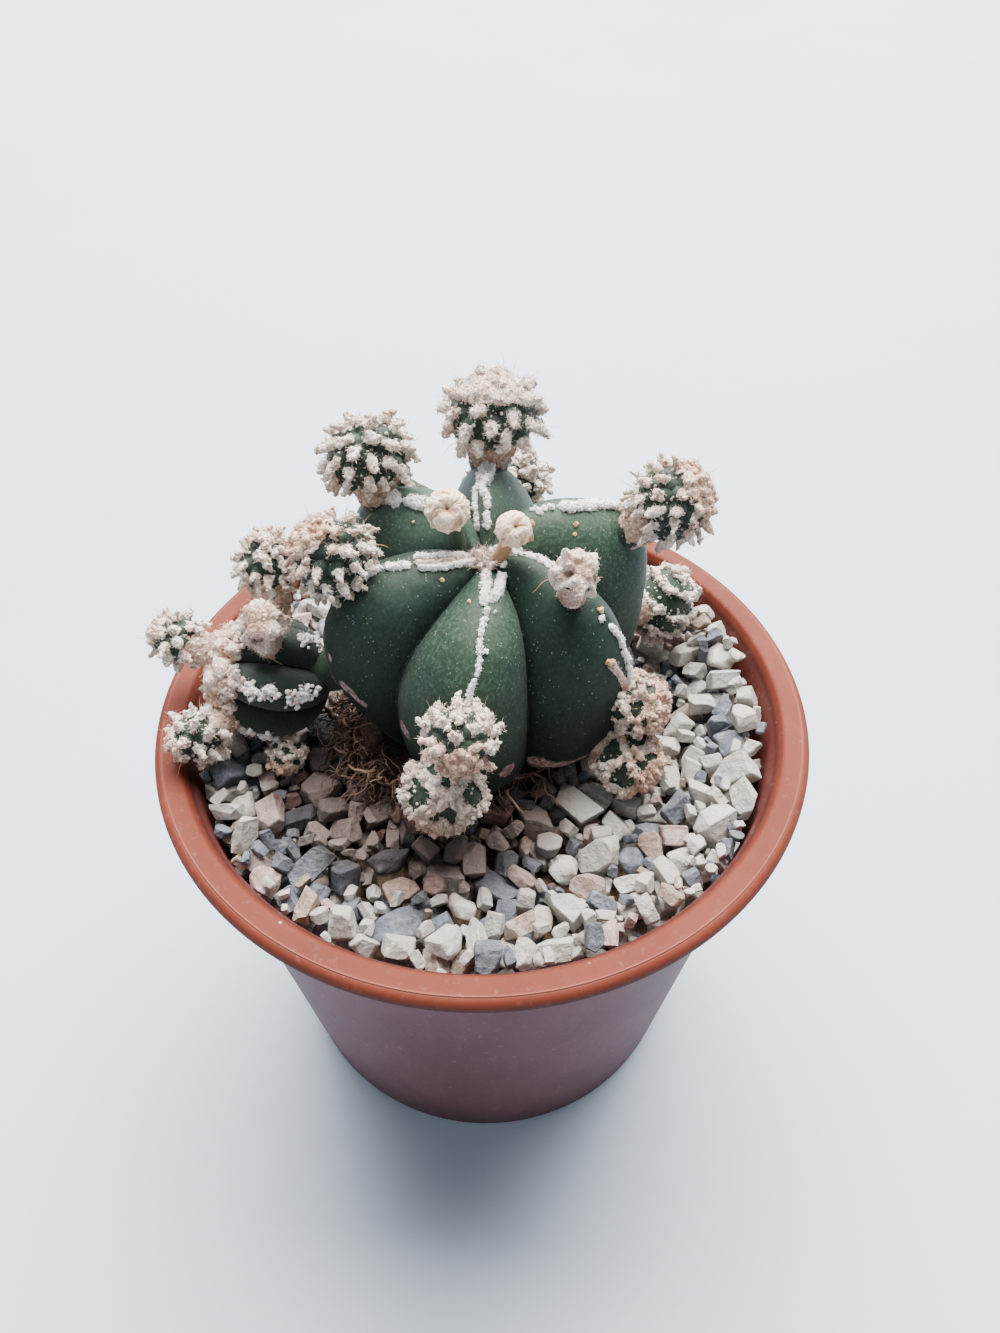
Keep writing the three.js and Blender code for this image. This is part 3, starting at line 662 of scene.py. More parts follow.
def chip_shape(rng, name):
    """A block about 1 long whose corners are cut off by random planes, as mesh and planes."""
    bm = bmesh.new()
    bmesh.ops.create_cube(bm, size=1)
    bmesh.ops.scale(bm, vec=(1.0, rng.uniform(*CHIP_WIDTH), rng.uniform(*CHIP_HEIGHT)), verts=bm.verts)
    for _ in range(CHIP_CUTS):
        n = rng.normal(size=3) * (1.0, 1.1, 0.8)
        n = n / np.linalg.norm(n)
        far = max(float(np.dot(n, v.co)) for v in bm.verts)
        cut = bmesh.ops.bisect_plane(bm, geom=bm.verts[:] + bm.edges[:] + bm.faces[:],
                                     plane_co=n * far * rng.uniform(*CUT_DEPTH), plane_no=n,
                                     clear_outer=True)
        rim = [e for e in cut["geom_cut"] if isinstance(e, bmesh.types.BMEdge)]
        if len(rim) > 2:
            bmesh.ops.contextual_create(bm, geom=rim)
    bmesh.ops.remove_doubles(bm, verts=bm.verts, dist=CHIP_WELD)
    bmesh.ops.recalc_face_normals(bm, faces=bm.faces)
    planes = planes_of(bm)
    bmesh.ops.bevel(bm, geom=bm.edges[:], offset=CHIP_BEVEL, segments=1, affect="EDGES",
                    clamp_overlap=True)
    bmesh.ops.remove_doubles(bm, verts=bm.verts, dist=BEVEL_WELD)
    for v in bm.verts:
        v.co *= MM
    return mesh_of(bm, name), planes

def shape_box(name, meshes):
    """A collection of shapes for Geometry Nodes to pick from."""
    box = bpy.data.collections.new(name)
    for mesh in meshes:
        box.objects.link(bpy.data.objects.new(mesh.name, mesh))
    return box

def make_chip_shapes():
    rng = np.random.default_rng(11)
    meshes, planes = zip(*(chip_shape(rng, f"chip_{i:02d}") for i in range(CHIP_SHAPES)))
    return shape_box("chip_shapes", meshes), planes

chip_box, chip_planes = make_chip_shapes()

# %% [markdown]
# ## Pouring the gravel
# Real gravel lies as it fell. Scattering chips at one height would leave them floating or sunk
# in each other, and a full rigid-body drop is slow. Here the bed is a height map: each chip is
# tried at several random places and turns, comes down until its underside touches what is
# already there, and stays in the lowest of those places. The wall, the root crown and the low
# parts of the plant are limits in the map, so no chip lies in them.

# %% Pour the chips
CELL, BED_HALF = 0.42, 40.6
UNDER_ROWS, UNDER_COLUMNS = 160, 90  # points on the underside of each rib, as a roof over the bed
ROOF_GAP, WALL_GAP = 0.2, 0.05
FARTHEST_SIDE, LEVEL_SIDE = 0.6, 0.02  # how far a chip of size 1 reaches; slopes taken as upright
BLOCKED = 999.0  # stands for a place that no chip can take, and for no roof
BED_FLOOR, BED_LEVEL = 59.0, 63.9
BANK_START, BANK_END, BANK_HEIGHT = 25, 39, 3.3
HEAP_AZIMUTH, HEAP_SPREAD, HEAP_HEIGHT = 28, 32, 3.4
ROOT_BULGE_AZIMUTH, ROOT_BULGE_SPREAD, ROOT_BULGE = 203, 34, 0.36
ROOT_AXIS, ROOT_CLEAR = np.array((-1.4, 1.2)), 12.9
LOW_BALLS = [  # centre and radius of what hangs low over the gravel
    ((-4.9, -18.0, 72.3), 5.9), ((19.6, -10.6, 68.7), 5.0), ((26.6, 14.8, 73.6), 6.2),
    ((-26.9, -7.2, 67.4), 3.0), ((-37.3, -8.4, 74.2), 4.6), ((-28.3, 0.4, 75.0), 8.6),
    ((20.3, -7.6, 76.5), 4.7), ((-41.0, 4.2, 78.6), 4.6),
]

def heaped(x, y):
    """How much higher the gravel lies at a place: banked against the wall, with one heap."""
    out = smoothstep(np.hypot(x, y), BANK_START, BANK_END)
    turn = np.degrees(np.arctan2(y, x)) - HEAP_AZIMUTH
    return out * (BANK_HEIGHT + HEAP_HEIGHT * np.exp(-(turn / HEAP_SPREAD) ** 2))

def root_reach(azimuth):
    """How far the root crown reaches out, as a share: it bulges under the left of the stem."""
    turn = (np.degrees(azimuth) - ROOT_BULGE_AZIMUTH + 180) % 360 - 180
    return 1 + ROOT_BULGE * np.exp(-(turn / ROOT_BULGE_SPREAD) ** 2)

def turn_matrix(a):
    """The rotation of three angles, X first and Z last, as Blender turns an instance."""
    (cx, cy, cz), (sx, sy, sz) = np.cos(a), np.sin(a)
    return np.array([[cy * cz, sx * sy * cz - cx * sz, cx * sy * cz + sx * sz],
                     [cy * sz, sx * sy * sz + cx * cz, cx * sy * sz - sx * cz],
                     [-sy, sx * cy, cx * cy]])

class Bed:
    """The height of the gravel so far, and how high it may reach, on a square grid."""

    def __init__(self):
        self.axis = np.arange(-BED_HALF, BED_HALF, CELL) + CELL / 2
        self.x, self.y = np.meshgrid(self.axis, self.axis, indexing="ij")
        self.top = np.full(self.x.shape, BED_FLOOR)
        self.top[np.hypot(self.x, self.y) > wall_inside(64) - WALL_GAP] = BLOCKED
        dx, dy = self.x - ROOT_AXIS[0], self.y - ROOT_AXIS[1]
        self.top[np.hypot(dx, dy) < ROOT_CLEAR * root_reach(np.arctan2(dy, dx))] = BLOCKED
        self.free = self.top < BLOCKED
        self.roof = np.full(self.x.shape, BLOCKED)
        t, u = np.linspace(0.5, 1, UNDER_ROWS)[:, None], np.linspace(-1, 1, UNDER_COLUMNS)[None]
        under = np.concatenate([skin(rib, t, u).reshape(-1, 3) for rib in ORDER])
        np.minimum.at(self.roof, (self.index(under[:, 0]), self.index(under[:, 1])), under[:, 2])
        for (cx, cy, cz), r in LOW_BALLS:
            gap = np.hypot(self.x - cx, self.y - cy)
            inside = gap < r
            self.roof[inside] = np.minimum(self.roof[inside], cz - np.sqrt(r * r - gap[inside] ** 2))

    def index(self, values):
        return np.clip(((values + BED_HALF) / CELL).astype(int), 0, len(self.axis) - 1)

    def shadow(self, planes, at, turn, size):
        """Where a chip stands over the grid, with the heights of its underside and its top."""
        reach = np.array([-FARTHEST_SIDE, FARTHEST_SIDE]) * size
        (i0, i1), (j0, j1) = self.index(at[0] + reach), self.index(at[1] + reach)
        window = (slice(i0, i1 + 1), slice(j0, j1 + 1))
        dx, dy = self.x[window] - at[0], self.y[window] - at[1]
        n = planes[:, :3] @ turn_matrix(turn).T
        d = planes[:, 3] * size
        height = d[:, None, None] - n[:, 0, None, None] * dx - n[:, 1, None, None] * dy
        up, down = n[:, 2] > LEVEL_SIDE, n[:, 2] < -LEVEL_SIDE
        over = (height[up] / n[up, 2][:, None, None]).min(0)
        under = (height[down] / n[down, 2][:, None, None]).max(0)
        side = (height[~up & ~down] > 0).all(0)
        return window, (over > under) & side, under, over

    def rest(self, planes, at, turn, size):
        """The height at which a chip comes to rest, or None where it can't lie."""
        window, inside, under, over = self.shadow(planes, at, turn, size)
        if not inside.any():
            return None
        z = (self.top[window] - under)[inside].max()
        clear = z < BLOCKED / 2 and ((over + z)[inside] <= self.roof[window][inside] - ROOF_GAP).all()
        return z if clear else None

    def add(self, planes, at, turn, size, z):
        window, inside, _, over = self.shadow(planes, at, turn, size)
        part = self.top[window]
        part[inside] = np.maximum(part[inside], (over + z)[inside])

def pour(bed, rng, chips, count, middle, spread, least, most, tries, flat, level):
    """Adds chips one by one, each in the lowest of a few random places."""
    for _ in range(count):
        best = None
        for _ in range(tries):
            angle, distance = rng.uniform(0, 2 * np.pi), wall_inside(62) * math.sqrt(rng.uniform(0.08, 1))
            at = (distance * math.cos(angle), distance * math.sin(angle))
            turn = (rng.normal(0, flat), rng.normal(0, flat), rng.uniform(0, 2 * np.pi))
            size = float(np.clip(np.exp(rng.normal(np.log(middle), spread)), least, most))
            shape = int(rng.integers(CHIP_SHAPES))
            z = bed.rest(chip_planes[shape], at, turn, size)
            over = z and z - float(heaped(*at))
            if z is not None and (best is None or over < best[0]):
                best = (over, z, at, turn, size, shape)
        if best is None or best[0] > level:
            continue
        _, z, at, turn, size, shape = best
        bed.add(chip_planes[shape], at, turn, size, z)
        chips.append((*at, z, *turn, size, shape, rng.uniform()))

POURS = [  # chips, sizes in mm: middle, spread, least, most; places tried, tumble, how high at most
    (330, 4.4, 0.22, 2.6, 6.4, 12, 0.45, BED_FLOOR + 2.6),
    (820, 5.8, 0.25, 3.8, 9.4, 28, 0.5, BED_LEVEL),
    (800, 3.2, 0.3, 1.8, 4.8, 20, 0.7, BED_LEVEL + 0.2),
    (420, 1.7, 0.25, 1.1, 2.4, 12, 0.8, BED_LEVEL - 0.5),
]

WELD, FLAT_ANGLE = 0.001, math.radians(14)

def node_solid(name):
    """A copy of a frame node's mesh with its points joined, in millimetres."""
    bm = bmesh.new()
    bm.from_mesh(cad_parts[name].data)
    bmesh.ops.remove_doubles(bm, verts=bm.verts, dist=WELD * MM)
    bmesh.ops.dissolve_limit(bm, angle_limit=FLAT_ANGLE, verts=bm.verts, edges=bm.edges)
    for v in bm.verts:
        v.co /= MM
    bm.normal_update()
    return bm

LARGE_REACH = 9
LARGE_CHIPS = sorted(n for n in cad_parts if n.startswith("stone_chip"))

def large_chip_planes(name):
    bm = node_solid(name)
    planes = planes_of(bm)
    middle = np.mean([v.co for v in bm.verts], axis=0)
    bm.free()
    planes[:, 3] = (planes[:, 3] - planes[:, :3] @ middle) / LARGE_REACH
    return planes, middle

def pour_gravel():
    """The lowest layer under the large chips, then the large chips, then the rest round them."""
    rng = np.random.default_rng(5)
    bed, chips = Bed(), []
    large = [large_chip_planes(n) for n in LARGE_CHIPS]
    open_roof = bed.roof.copy()
    for planes, (x, y, z) in large:
        window, inside, under, _ = bed.shadow(planes, (x, y), (0, 0, 0), LARGE_REACH)
        part = bed.roof[window]
        part[inside] = np.minimum(part[inside], (under + z)[inside])
    pour(bed, rng, chips, *POURS[0])
    bed.roof = open_roof
    for planes, (x, y, z) in large:
        bed.add(planes, (x, y), (0, 0, 0), LARGE_REACH, z)
    for layer in POURS[1:]:
        pour(bed, rng, chips, *layer)
    return np.array(chips), bed

poured, bed = pour_gravel()
print("gravel:", len(poured), "chips, mean height", round(float(bed.top[bed.free].mean()), 2))

# %% [markdown]
# ## Stone finish
# Two rocks are mixed: cream limestone and blue-grey slate, with a few tan and pink chips among
# them. One value per chip chooses the rock and shifts the pattern, so neighbours differ. The
# cream chips carry ochre stains and a chalky dust in their pits, and the slate shows fine
# lighter scratches along its cleavage. Round the root crown the stones carry a painted shadow
# of the plant, and the border of that shadow differs from stone to stone.

# %% Stone paint
# Middle and radii of the painted shadow that the plant casts on the stones.
SHADOW_MIDDLE, SHADOW_INNER, SHADOW_OUTER = (-8.0, -7.0, 65.0), 17.0, 26.0

def stone_paint(name, rock=None):
    """Stone of one rock, or of the rock that the attribute called tone chooses."""
    p = Paint(name)
    at = p.place
    if rock is None:
        tone = p.attribute("tone")
        at = p.vector("ADD", at, p.node("ShaderNodeCombineXYZ", {}, (tone * 371.0, tone * 113.0, 0.0)))
    cloud = p.noise(3.2, 3, 0.55, at=at)
    grain = p.noise(0.5, 5, 0.65, at=at)
    shade = p.noise(9.0, 0, at=at)
    stain = p.noise(1.7, 4, 0.6, at=at).step(0.56, 0.72)
    cream = p.ramp(cloud * 0.7 + grain * 0.3, (0.34, (0.23, 0.19, 0.155)), (0.50, (0.45, 0.41, 0.36)),
                   (0.64, (0.70, 0.67, 0.61)))
    cream = p.mix(shade.step(0.4, 0.62) * 0.45, cream, (0.33, 0.335, 0.32))
    cream = p.mix(stain * 0.6, cream, (0.36, 0.25, 0.165))
    cream = p.mix(p.noise(5.0, 1, at=at).step(0.50, 0.64) * 0.5, cream, (0.44, 0.335, 0.27))
    slate = p.ramp(cloud * 0.6 + grain * 0.4, (0.34, (0.062, 0.068, 0.082)),
                   (0.52, (0.125, 0.136, 0.160)), (0.70, (0.245, 0.258, 0.285)))
    slate = p.mix(stain * 0.4, slate, (0.29, 0.28, 0.265))
    if rock is None:
        tan = p.ramp(cloud * 0.6 + grain * 0.4, (0.34, (0.17, 0.115, 0.085)),
                     (0.52, (0.31, 0.225, 0.175)), (0.70, (0.47, 0.385, 0.325)))
        rose = p.mix(cloud.step(0.35, 0.65), (0.27, 0.175, 0.15), (0.47, 0.365, 0.335))
        cream = p.mix((tone * 0.9).step(0.0, 0.5) * 0.5, (0.40, 0.38, 0.345), cream)
        colour = p.mix(tone.step(0.598, 0.602), cream, slate)
        colour = p.mix(tone.step(0.828, 0.832), colour, tan)
        colour = p.mix(tone.step(0.908, 0.912), colour, rose)
    else:
        colour = slate if rock == "slate" else cream
    # Painted shadow of the plant, darkest near the middle, with a border shifted by noise.
    away = p.vector("DISTANCE", p.place, SHADOW_MIDDLE, out="Value")
    cast_shadow = (away + (shade - 0.5) * 7).step(SHADOW_OUTER, SHADOW_INNER)
    colour = p.mix(cast_shadow, colour, (0.33, 0.26, 0.25), "MULTIPLY")
    pits = p.noise(0.22, 3, 0.6, at=at)
    facets = p.cells(1.3, at=p.vector("ADD", at, p.swirl(0.9, at)))
    relief = p.bump(cloud * 0.8 + grain * 0.9 + pits * 0.3 + facets * 0.9, 0.42, 0.85)
    return p.finish(colour, 0.66 + grain * 0.22, normal=relief, ior=1.5, specular_ior_level=0.35)

stone_mixed = stone_paint("stone_mixed")
stone_cream = stone_paint("pale_stone", "limestone")
stone_slate = stone_paint("blue_stone", "slate")

# %% [markdown]
# ## Setting the chips
# The poured chips are points that remember their shape, turn and size. Geometry Nodes puts the
# shapes on the points. It is quick to change and it says plainly what is repeated. The result is
# turned into a plain mesh.

# %% Gravel nodes
class Nodes(Graph):
    """A Geometry Nodes tree under construction, with the kind of each named input."""

    def __init__(self, name, **inputs):
        super().__init__(bpy.data.node_groups.new(name, "GeometryNodeTree"))
        for key, kind in {"Geometry": "Geometry", **inputs}.items():
            self.tree.interface.new_socket(key, in_out="INPUT", socket_type="NodeSocket" + kind)
        self.tree.interface.new_socket("Geometry", in_out="OUTPUT", socket_type="NodeSocketGeometry")
        self.entry = self.tree.nodes.new("NodeGroupInput")

    def given(self, name):
        return Wire(self, self.entry.outputs[name])

    def on_points(self, points, shapes, rotation, scale, **choice):
        """Shapes of a collection on points: one of them at random, or the one of a given index."""
        shapes = self.node("GeometryNodeCollectionInfo", {}, {
            "Collection": self.given(shapes), "Separate Children": True, "Reset Children": True})
        return self.node("GeometryNodeInstanceOnPoints", {}, {
            "Points": points, "Instance": shapes, "Pick Instance": True, "Rotation": rotation,
            "Scale": scale, **choice})

    def named(self, name, kind="FLOAT"):
        return self.node("GeometryNodeInputNamedAttribute", {"data_type": kind}, {"Name": name})

    def random(self, low, high, seed, kind="FLOAT"):
        keys = {"FLOAT": (2, 3, 1), "FLOAT_VECTOR": (0, 1, 0)}[kind]
        return self.node("FunctionNodeRandomValue", {"data_type": kind},
                         {keys[0]: low, keys[1]: high, "Seed": seed}, out=keys[2])

    def close(self, geometry, material):
        """Ends the tree: instances become real geometry and get their material."""
        real = self.node("GeometryNodeRealizeInstances", {}, (geometry,))
        painted = self.node("GeometryNodeSetMaterial", {}, {"Geometry": real, "Material": material})
        leave = self.tree.nodes.new("NodeGroupOutput")
        self.tree.links.new(painted.socket, leave.inputs[0])
        return self.tree

def grow(mesh, tree, name, **inputs):
    """Runs a tree on a mesh and returns what it makes as a plain mesh."""
    base = placed(name, mesh)
    modifier = base.modifiers.new(name, "NODES")
    modifier.node_group = tree
    for item in tree.interface.items_tree:
        if item.item_type == "SOCKET" and item.in_out == "INPUT" and item.name in inputs:
            modifier[item.identifier] = inputs[item.name]
    made = evaluated(base)
    base.modifiers.remove(modifier)
    bpy.data.objects.remove(base)
    made.name = name
    return made

def gravel_tree(material):
    g = Nodes("gravel_nodes", Shapes="Collection")
    stones = g.on_points(g.given("Geometry"), "Shapes", g.named("turn", "FLOAT_VECTOR"), g.named("size"),
                         **{"Instance Index": g.named("shape", "INT")})
    return g.close(stones, material)

def make_gravel():
    mesh = mesh_from("gravel_points", poured[:, :3], [], turn=poured[:, 3:6], size=poured[:, 6],
                     shape=poured[:, 7].astype(np.int32), tone=poured[:, 8])
    made = grow(mesh, gravel_tree(stone_mixed), "gravel", Shapes=chip_box)
    return show("gravel_chips", made, stone_mixed, "pale_stone", "gravel_bed")

gravel = make_gravel()
print("gravel:", len(gravel.data.polygons), "faces")

# %% [markdown]
# ## The largest chips
# Eighteen larger chips are solids of the frame, so their places are fixed. Their flat sides are
# kept. The edges get a bevel, the sides are divided, and noise pulls the surface in and out, as
# on stone that was split and not sawn.

# %% Large chips
LARGE_BEVEL, LONGEST_EDGE = 0.42, 0.6

def make_large_chip(name, index):
    bm = node_solid(name)
    bmesh.ops.bevel(bm, geom=bm.edges[:], offset=LARGE_BEVEL, segments=2, affect="EDGES",
                    clamp_overlap=True, profile=0.6)
    bmesh.ops.triangulate(bm, faces=bm.faces)
    for _ in range(3):
        long_edges = [e for e in bm.edges if e.calc_length() > LONGEST_EDGE]
        if long_edges:
            bmesh.ops.subdivide_edges(bm, edges=long_edges, cuts=1, use_grid_fill=True)
        bmesh.ops.triangulate(bm, faces=bm.faces)
    bm.normal_update()
    points = np.array([v.co for v in bm.verts])
    normals = np.array([v.normal for v in bm.verts])
    push = 0.26 * rough(points, 2.3, 40 + index) + 0.10 * rough(points, 0.9, 60 + index) - 0.08
    for v, p in zip(bm.verts, (points + normals * push[:, None]) * MM):
        v.co = p
    mesh = mesh_of(bm, name)
    mesh.polygons.foreach_set("use_smooth", np.ones(len(mesh.polygons), bool))
    material, slot = (stone_cream, "pale_stone") if index % 3 else (stone_slate, "blue_stone")
    return show(f"large_chip_{index + 1:02d}", mesh, material, slot, name)

large_chips = [make_large_chip(name, i) for i, name in enumerate(LARGE_CHIPS)]
print("large chips:", len(large_chips), "of", len(large_chips[0].data.polygons), "faces")

# %% [markdown]
# ## Soil under the stones
# The compost is seen only in the deepest gaps between chips. The frame's own solid is good
# enough there, with a crumbly dark finish of bark and fibre.

# %% Soil paint
def soil_paint():
    p = Paint("compost")
    crumbs = p.cells(1.6)
    fine = p.noise(0.6, 4, 0.65)
    colour = p.ramp(fine * 0.6 + crumbs * 0.5, (0.25, (0.025, 0.016, 0.011)),
                    (0.5, (0.085, 0.055, 0.036)), (0.8, (0.20, 0.14, 0.095)))
    return p.finish(colour, 0.9, normal=p.bump(crumbs + fine * 0.6, 0.6, 0.9), specular_ior_level=0.25)

def dress_soil():
    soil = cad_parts["soil"]
    soil.data.materials.clear()
    soil.data.materials.append(soil_paint())

dress_soil()
print("soil: kept from the frame")

# %% [markdown]
# ## What the wool is made of
# The wool of this plant is short felt: thousands of hairs that lie against each other, with
# crumbs of matted wool between the tubercles. Hair particles would show well from one distance
# only and can't be handed on as a mesh. A few hair shapes and a few crumbs are made once here,
# and scattered later over every woolly surface.

# %% Hair and crumb shapes
HAIR_SHAPES, CRUMB_SHAPES = 6, 5
HAIR_RADIUS = 0.052

def hair_shape(rng, name):
    """A curved, tapering hair 1 mm long that starts just under the surface."""
    bend, side = rng.uniform(0.5, 1.5), rng.uniform(-0.6, 0.6)
    rings, middles = [], []
    for i, s in enumerate((-0.1, 0.6)):
        a = bend * s
        middle = np.array((math.sin(a) * s * 0.8, side * s * s * 0.5, s * math.cos(a * 0.6)))
        turn = round_angles(3) + 0.4 * i
        radius = HAIR_RADIUS * (1.0, 0.7)[i]
        rings.append(middle + radius * np.stack([np.cos(turn), np.sin(turn), 0 * turn], -1))
        middles.append(middle)
    tip = middles[1] + (middles[1] - middles[0]) * 0.55 + (0.1, 0, -0.08)
    points, faces = loft(rings[::-1], tip, middles[0])
    return mesh_from(name, points, faces)

def crumb_shape(rng, name):
    points, faces = ball(1)
    return mesh_from(name, points * rng.uniform(0.75, 1.25, (len(points), 1)), faces)

def ball(level, _made={}):
    """A unit ball of triangles. Each level has four times the faces of the one below."""
    if level not in _made:
        bm = bmesh.new()
        bmesh.ops.create_icosphere(bm, subdivisions=level, radius=1)
        _made[level] = (np.array([v.co for v in bm.verts]),
                        np.array([[v.index for v in f.verts] for f in bm.faces]))
        bm.free()
    points, faces = _made[level]
    return unit(points), faces

shape_rng = np.random.default_rng(21)
hair_box = shape_box("hair_shapes", [hair_shape(shape_rng, f"hair_{i}") for i in range(HAIR_SHAPES)])
crumb_box = shape_box("crumb_shapes", [crumb_shape(shape_rng, f"crumb_{i}") for i in range(CRUMB_SHAPES)])
print("scatter shapes:", HAIR_SHAPES, "hairs,", CRUMB_SHAPES, "crumbs")

# %% [markdown]
# ## Wool and tubercle finish
# One finish serves every offset, because wool and green skin run into each other. Attributes on
# the points say where the wool is and where it blushes pink near a growing point. Another
# attribute paints shade: wool in hollows, under lumps and on undersides is darkened to tan brown
# and the skin there to near black. The grooves of the felt are painted darker as shade too. The
# border between wool and skin is broken up with noise.

# %% Wool paint
def wool_paint():
    p = Paint("wool")
    wool, blush, deep, chalk = (p.attribute(n) for n in ("wool", "blush", "deep", "chalk"))
    cloud = p.noise(1.7, 3, 0.6)
    fine = p.noise(0.33, 4, 0.65)
    grit = p.cells(0.42, at=p.vector("ADD", p.place, p.scaled(p.swirl(2.2, p.place), 0.5)))
    # Painted shade in the grooves of the felt.
    shaded_grooves = (grit.step(0.34, 0.62) * 0.7 + p.noise(0.9, 4, 0.7).step(0.56, 0.68) * 0.45).clamp()
    cream = p.ramp(cloud * 0.5 + fine * 0.5, (0.30, (0.42, 0.30, 0.21)), (0.46, (0.82, 0.72, 0.60)),
                   (0.62, (0.985, 0.945, 0.88)))
    pink = p.ramp(cloud * 0.45 + fine * 0.55, (0.30, (0.27, 0.12, 0.08)), (0.46, (0.63, 0.375, 0.265)),
                  (0.64, (0.94, 0.71, 0.57)))
    colour = p.mix(blush, cream, pink)
    colour = p.mix(shaded_grooves * 0.62, colour, (0.20, 0.125, 0.088))
    white = p.ramp(fine, (0.30, (0.74, 0.72, 0.69)), (0.5, (0.97, 0.96, 0.94)))
    colour = p.mix(chalk, colour, p.mix(shaded_grooves * 0.3, white, (0.42, 0.39, 0.36)))
    # Painted shade: wool in hollows, under lumps and on undersides turns tan brown.
    colour = p.mix(deep * 0.82, colour, (0.115, 0.058, 0.038))
    green = p.ramp(fine * 0.6 + p.noise(2.5, 2) * 0.4, (0.35, (0.005, 0.013, 0.009)),
                   (0.55, (0.014, 0.033, 0.016)), (0.75, (0.038, 0.070, 0.036)))
    green = p.mix(p.cells(0.5).step(0.17, 0.08) * 0.35, green, (0.30, 0.33, 0.29))
    # Painted shade on the green skin, down to near black.
    green = p.mix(deep * 0.75, green, (0.003, 0.008, 0.006))
    edge = (wool + (fine - 0.5) * 0.9 - (grit - 0.35) * 0.35).step(0.36, 0.56)
    relief = fine * 0.5 + p.noise(0.15, 3, 0.6) * 0.4 + (1 - shaded_grooves) * edge * 0.9
    return p.finish(p.mix(edge, green, colour), 0.6 + edge * 0.34, normal=p.bump(relief, 0.16, 0.9),
                    ior=1.45, specular_ior_level=0.2, sheen_weight=0.15, sheen_roughness=0.6)

wool_cover = wool_paint()

# %% [markdown]
# ## The woolly coat
# The coat is one Geometry Nodes tree. Hairs stand on the surface where the wool attribute is
# high, tilted at random, and crumbs sit where the crumb attribute is high. Both carry the
# surface's blush with them. The surface itself is joined in, so that an offset is one piece.

# %% Coat nodes
PER_MM2 = 1e6

def coat_tree(material):
    g = Nodes("woolly_coat", Hairs="Collection", Crumbs="Collection", Hair_density="Float",
              Hair_length="Float", Crumb_density="Float", Seed="Int")
    surface = g.given("Geometry")

    def scatter(shapes, amount, low, high, tilt, seed):
        points = g.node("GeometryNodeDistributePointsOnFaces", {"distribute_method": "RANDOM"},
                        {"Mesh": surface, "Density": amount * PER_MM2, "Seed": seed})
        normal = Wire(g, g.last.outputs["Rotation"])
        swing = g.random((-tilt, -tilt, -math.pi), (tilt, tilt, math.pi), seed + 1, "FLOAT_VECTOR")
        turn = g.node("FunctionNodeRotateRotation", {"rotation_space": "LOCAL"}, (normal, swing))
        there = g.on_points(points, shapes, turn, g.random(low, high, seed + 2))
        return g.node("GeometryNodeStoreNamedAttribute", {"domain": "INSTANCE"},
                      {"Geometry": there, "Name": "wool", "Value": 1.0})

    seed, length = g.given("Seed"), g.given("Hair_length")
    hairs = scatter("Hairs", g.named("wool").step(0.35, 0.7) * g.given("Hair_density"),
                    length * 0.5, length * 1.35, 1.0, seed)
    crumbs = scatter("Crumbs", g.named("crumb") * g.given("Crumb_density"), 0.11, 0.27, 0.5, seed + 40)
    both = g.node("GeometryNodeJoinGeometry")
    for part in (surface, hairs, crumbs):
        g.tree.links.new(part.socket, g.last.inputs[0])
    return g.close(both, material)

coat = coat_tree(wool_cover)
# Values per point: wool, pink blush, painted shade, crumbs and chalk white.
SURFACE_VALUES = ("wool", "blush", "deep", "crumb", "chalk")

def joined(parts):
    """Several skins, each a dict of points, faces and values, as one."""
    points, faces, start = [], [], 0
    values = {key: [] for key in SURFACE_VALUES}
    for part in parts:
        points.append(part["points"])
        faces += [[start + i for i in f] for f in np.asarray(part["faces"], object).tolist()]
        for key in values:
            values[key].append(np.broadcast_to(part.get(key, 0.0), len(part["points"])))
        start += len(part["points"])
    return np.vstack(points), faces, {key: np.concatenate(v) for key, v in values.items()}

def welded(*parts):
    """Several skins as one skin."""
    points, faces, _ = joined(parts)
    return {"points": points, "faces": faces}

def closed_mesh(name, parts):
    """The parts as one mesh whose faces all look outward."""
    points, faces, values = joined(parts)
    bm = bmesh.new()
    bm.from_mesh(mesh_from(name, points, faces, **values))
    bmesh.ops.recalc_face_normals(bm, faces=bm.faces)
    return mesh_of(bm, name)

def coated(name, parts, slot, *nodes, hair, length, seed, crumbs=5.0):
    """Skins with their coat as one piece: hairs and crumbs per square mm, hair length in mm."""
    made = grow(closed_mesh(name, parts), coat, name, Hairs=hair_box, Crumbs=crumb_box,
                Hair_density=hair, Hair_length=length, Crumb_density=crumbs, Seed=seed)
    return show(name, made, wool_cover, slot, *nodes)

print("coat:", len(coat.nodes), "nodes")

# %% [markdown]
# ## Following the skin
# Wool lines, tufts and scraps all lie on the stem. Their control points are given as a rib and
# two shares, and the points in between are pulled onto the real skin by looking up the nearest
# place on it. That keeps a line on the surface even where it crosses from one rib to the next.

# %% Lines on the skin
class Surface:
    """A skin that points can be pulled onto."""

    def __init__(self, mesh):
        points = np.empty(len(mesh.vertices) * 3)
        mesh.vertices.foreach_get("co", points)
        self.tree = BVHTree.FromPolygons((points.reshape(-1, 3) / MM).tolist(),
                                         [p.vertices[:] for p in mesh.polygons])

    def snap(self, points):
        found = [self.tree.find_nearest(Vector(p))[:2] for p in points]
        return np.array([f[0] for f in found]), np.array([f[1] for f in found])

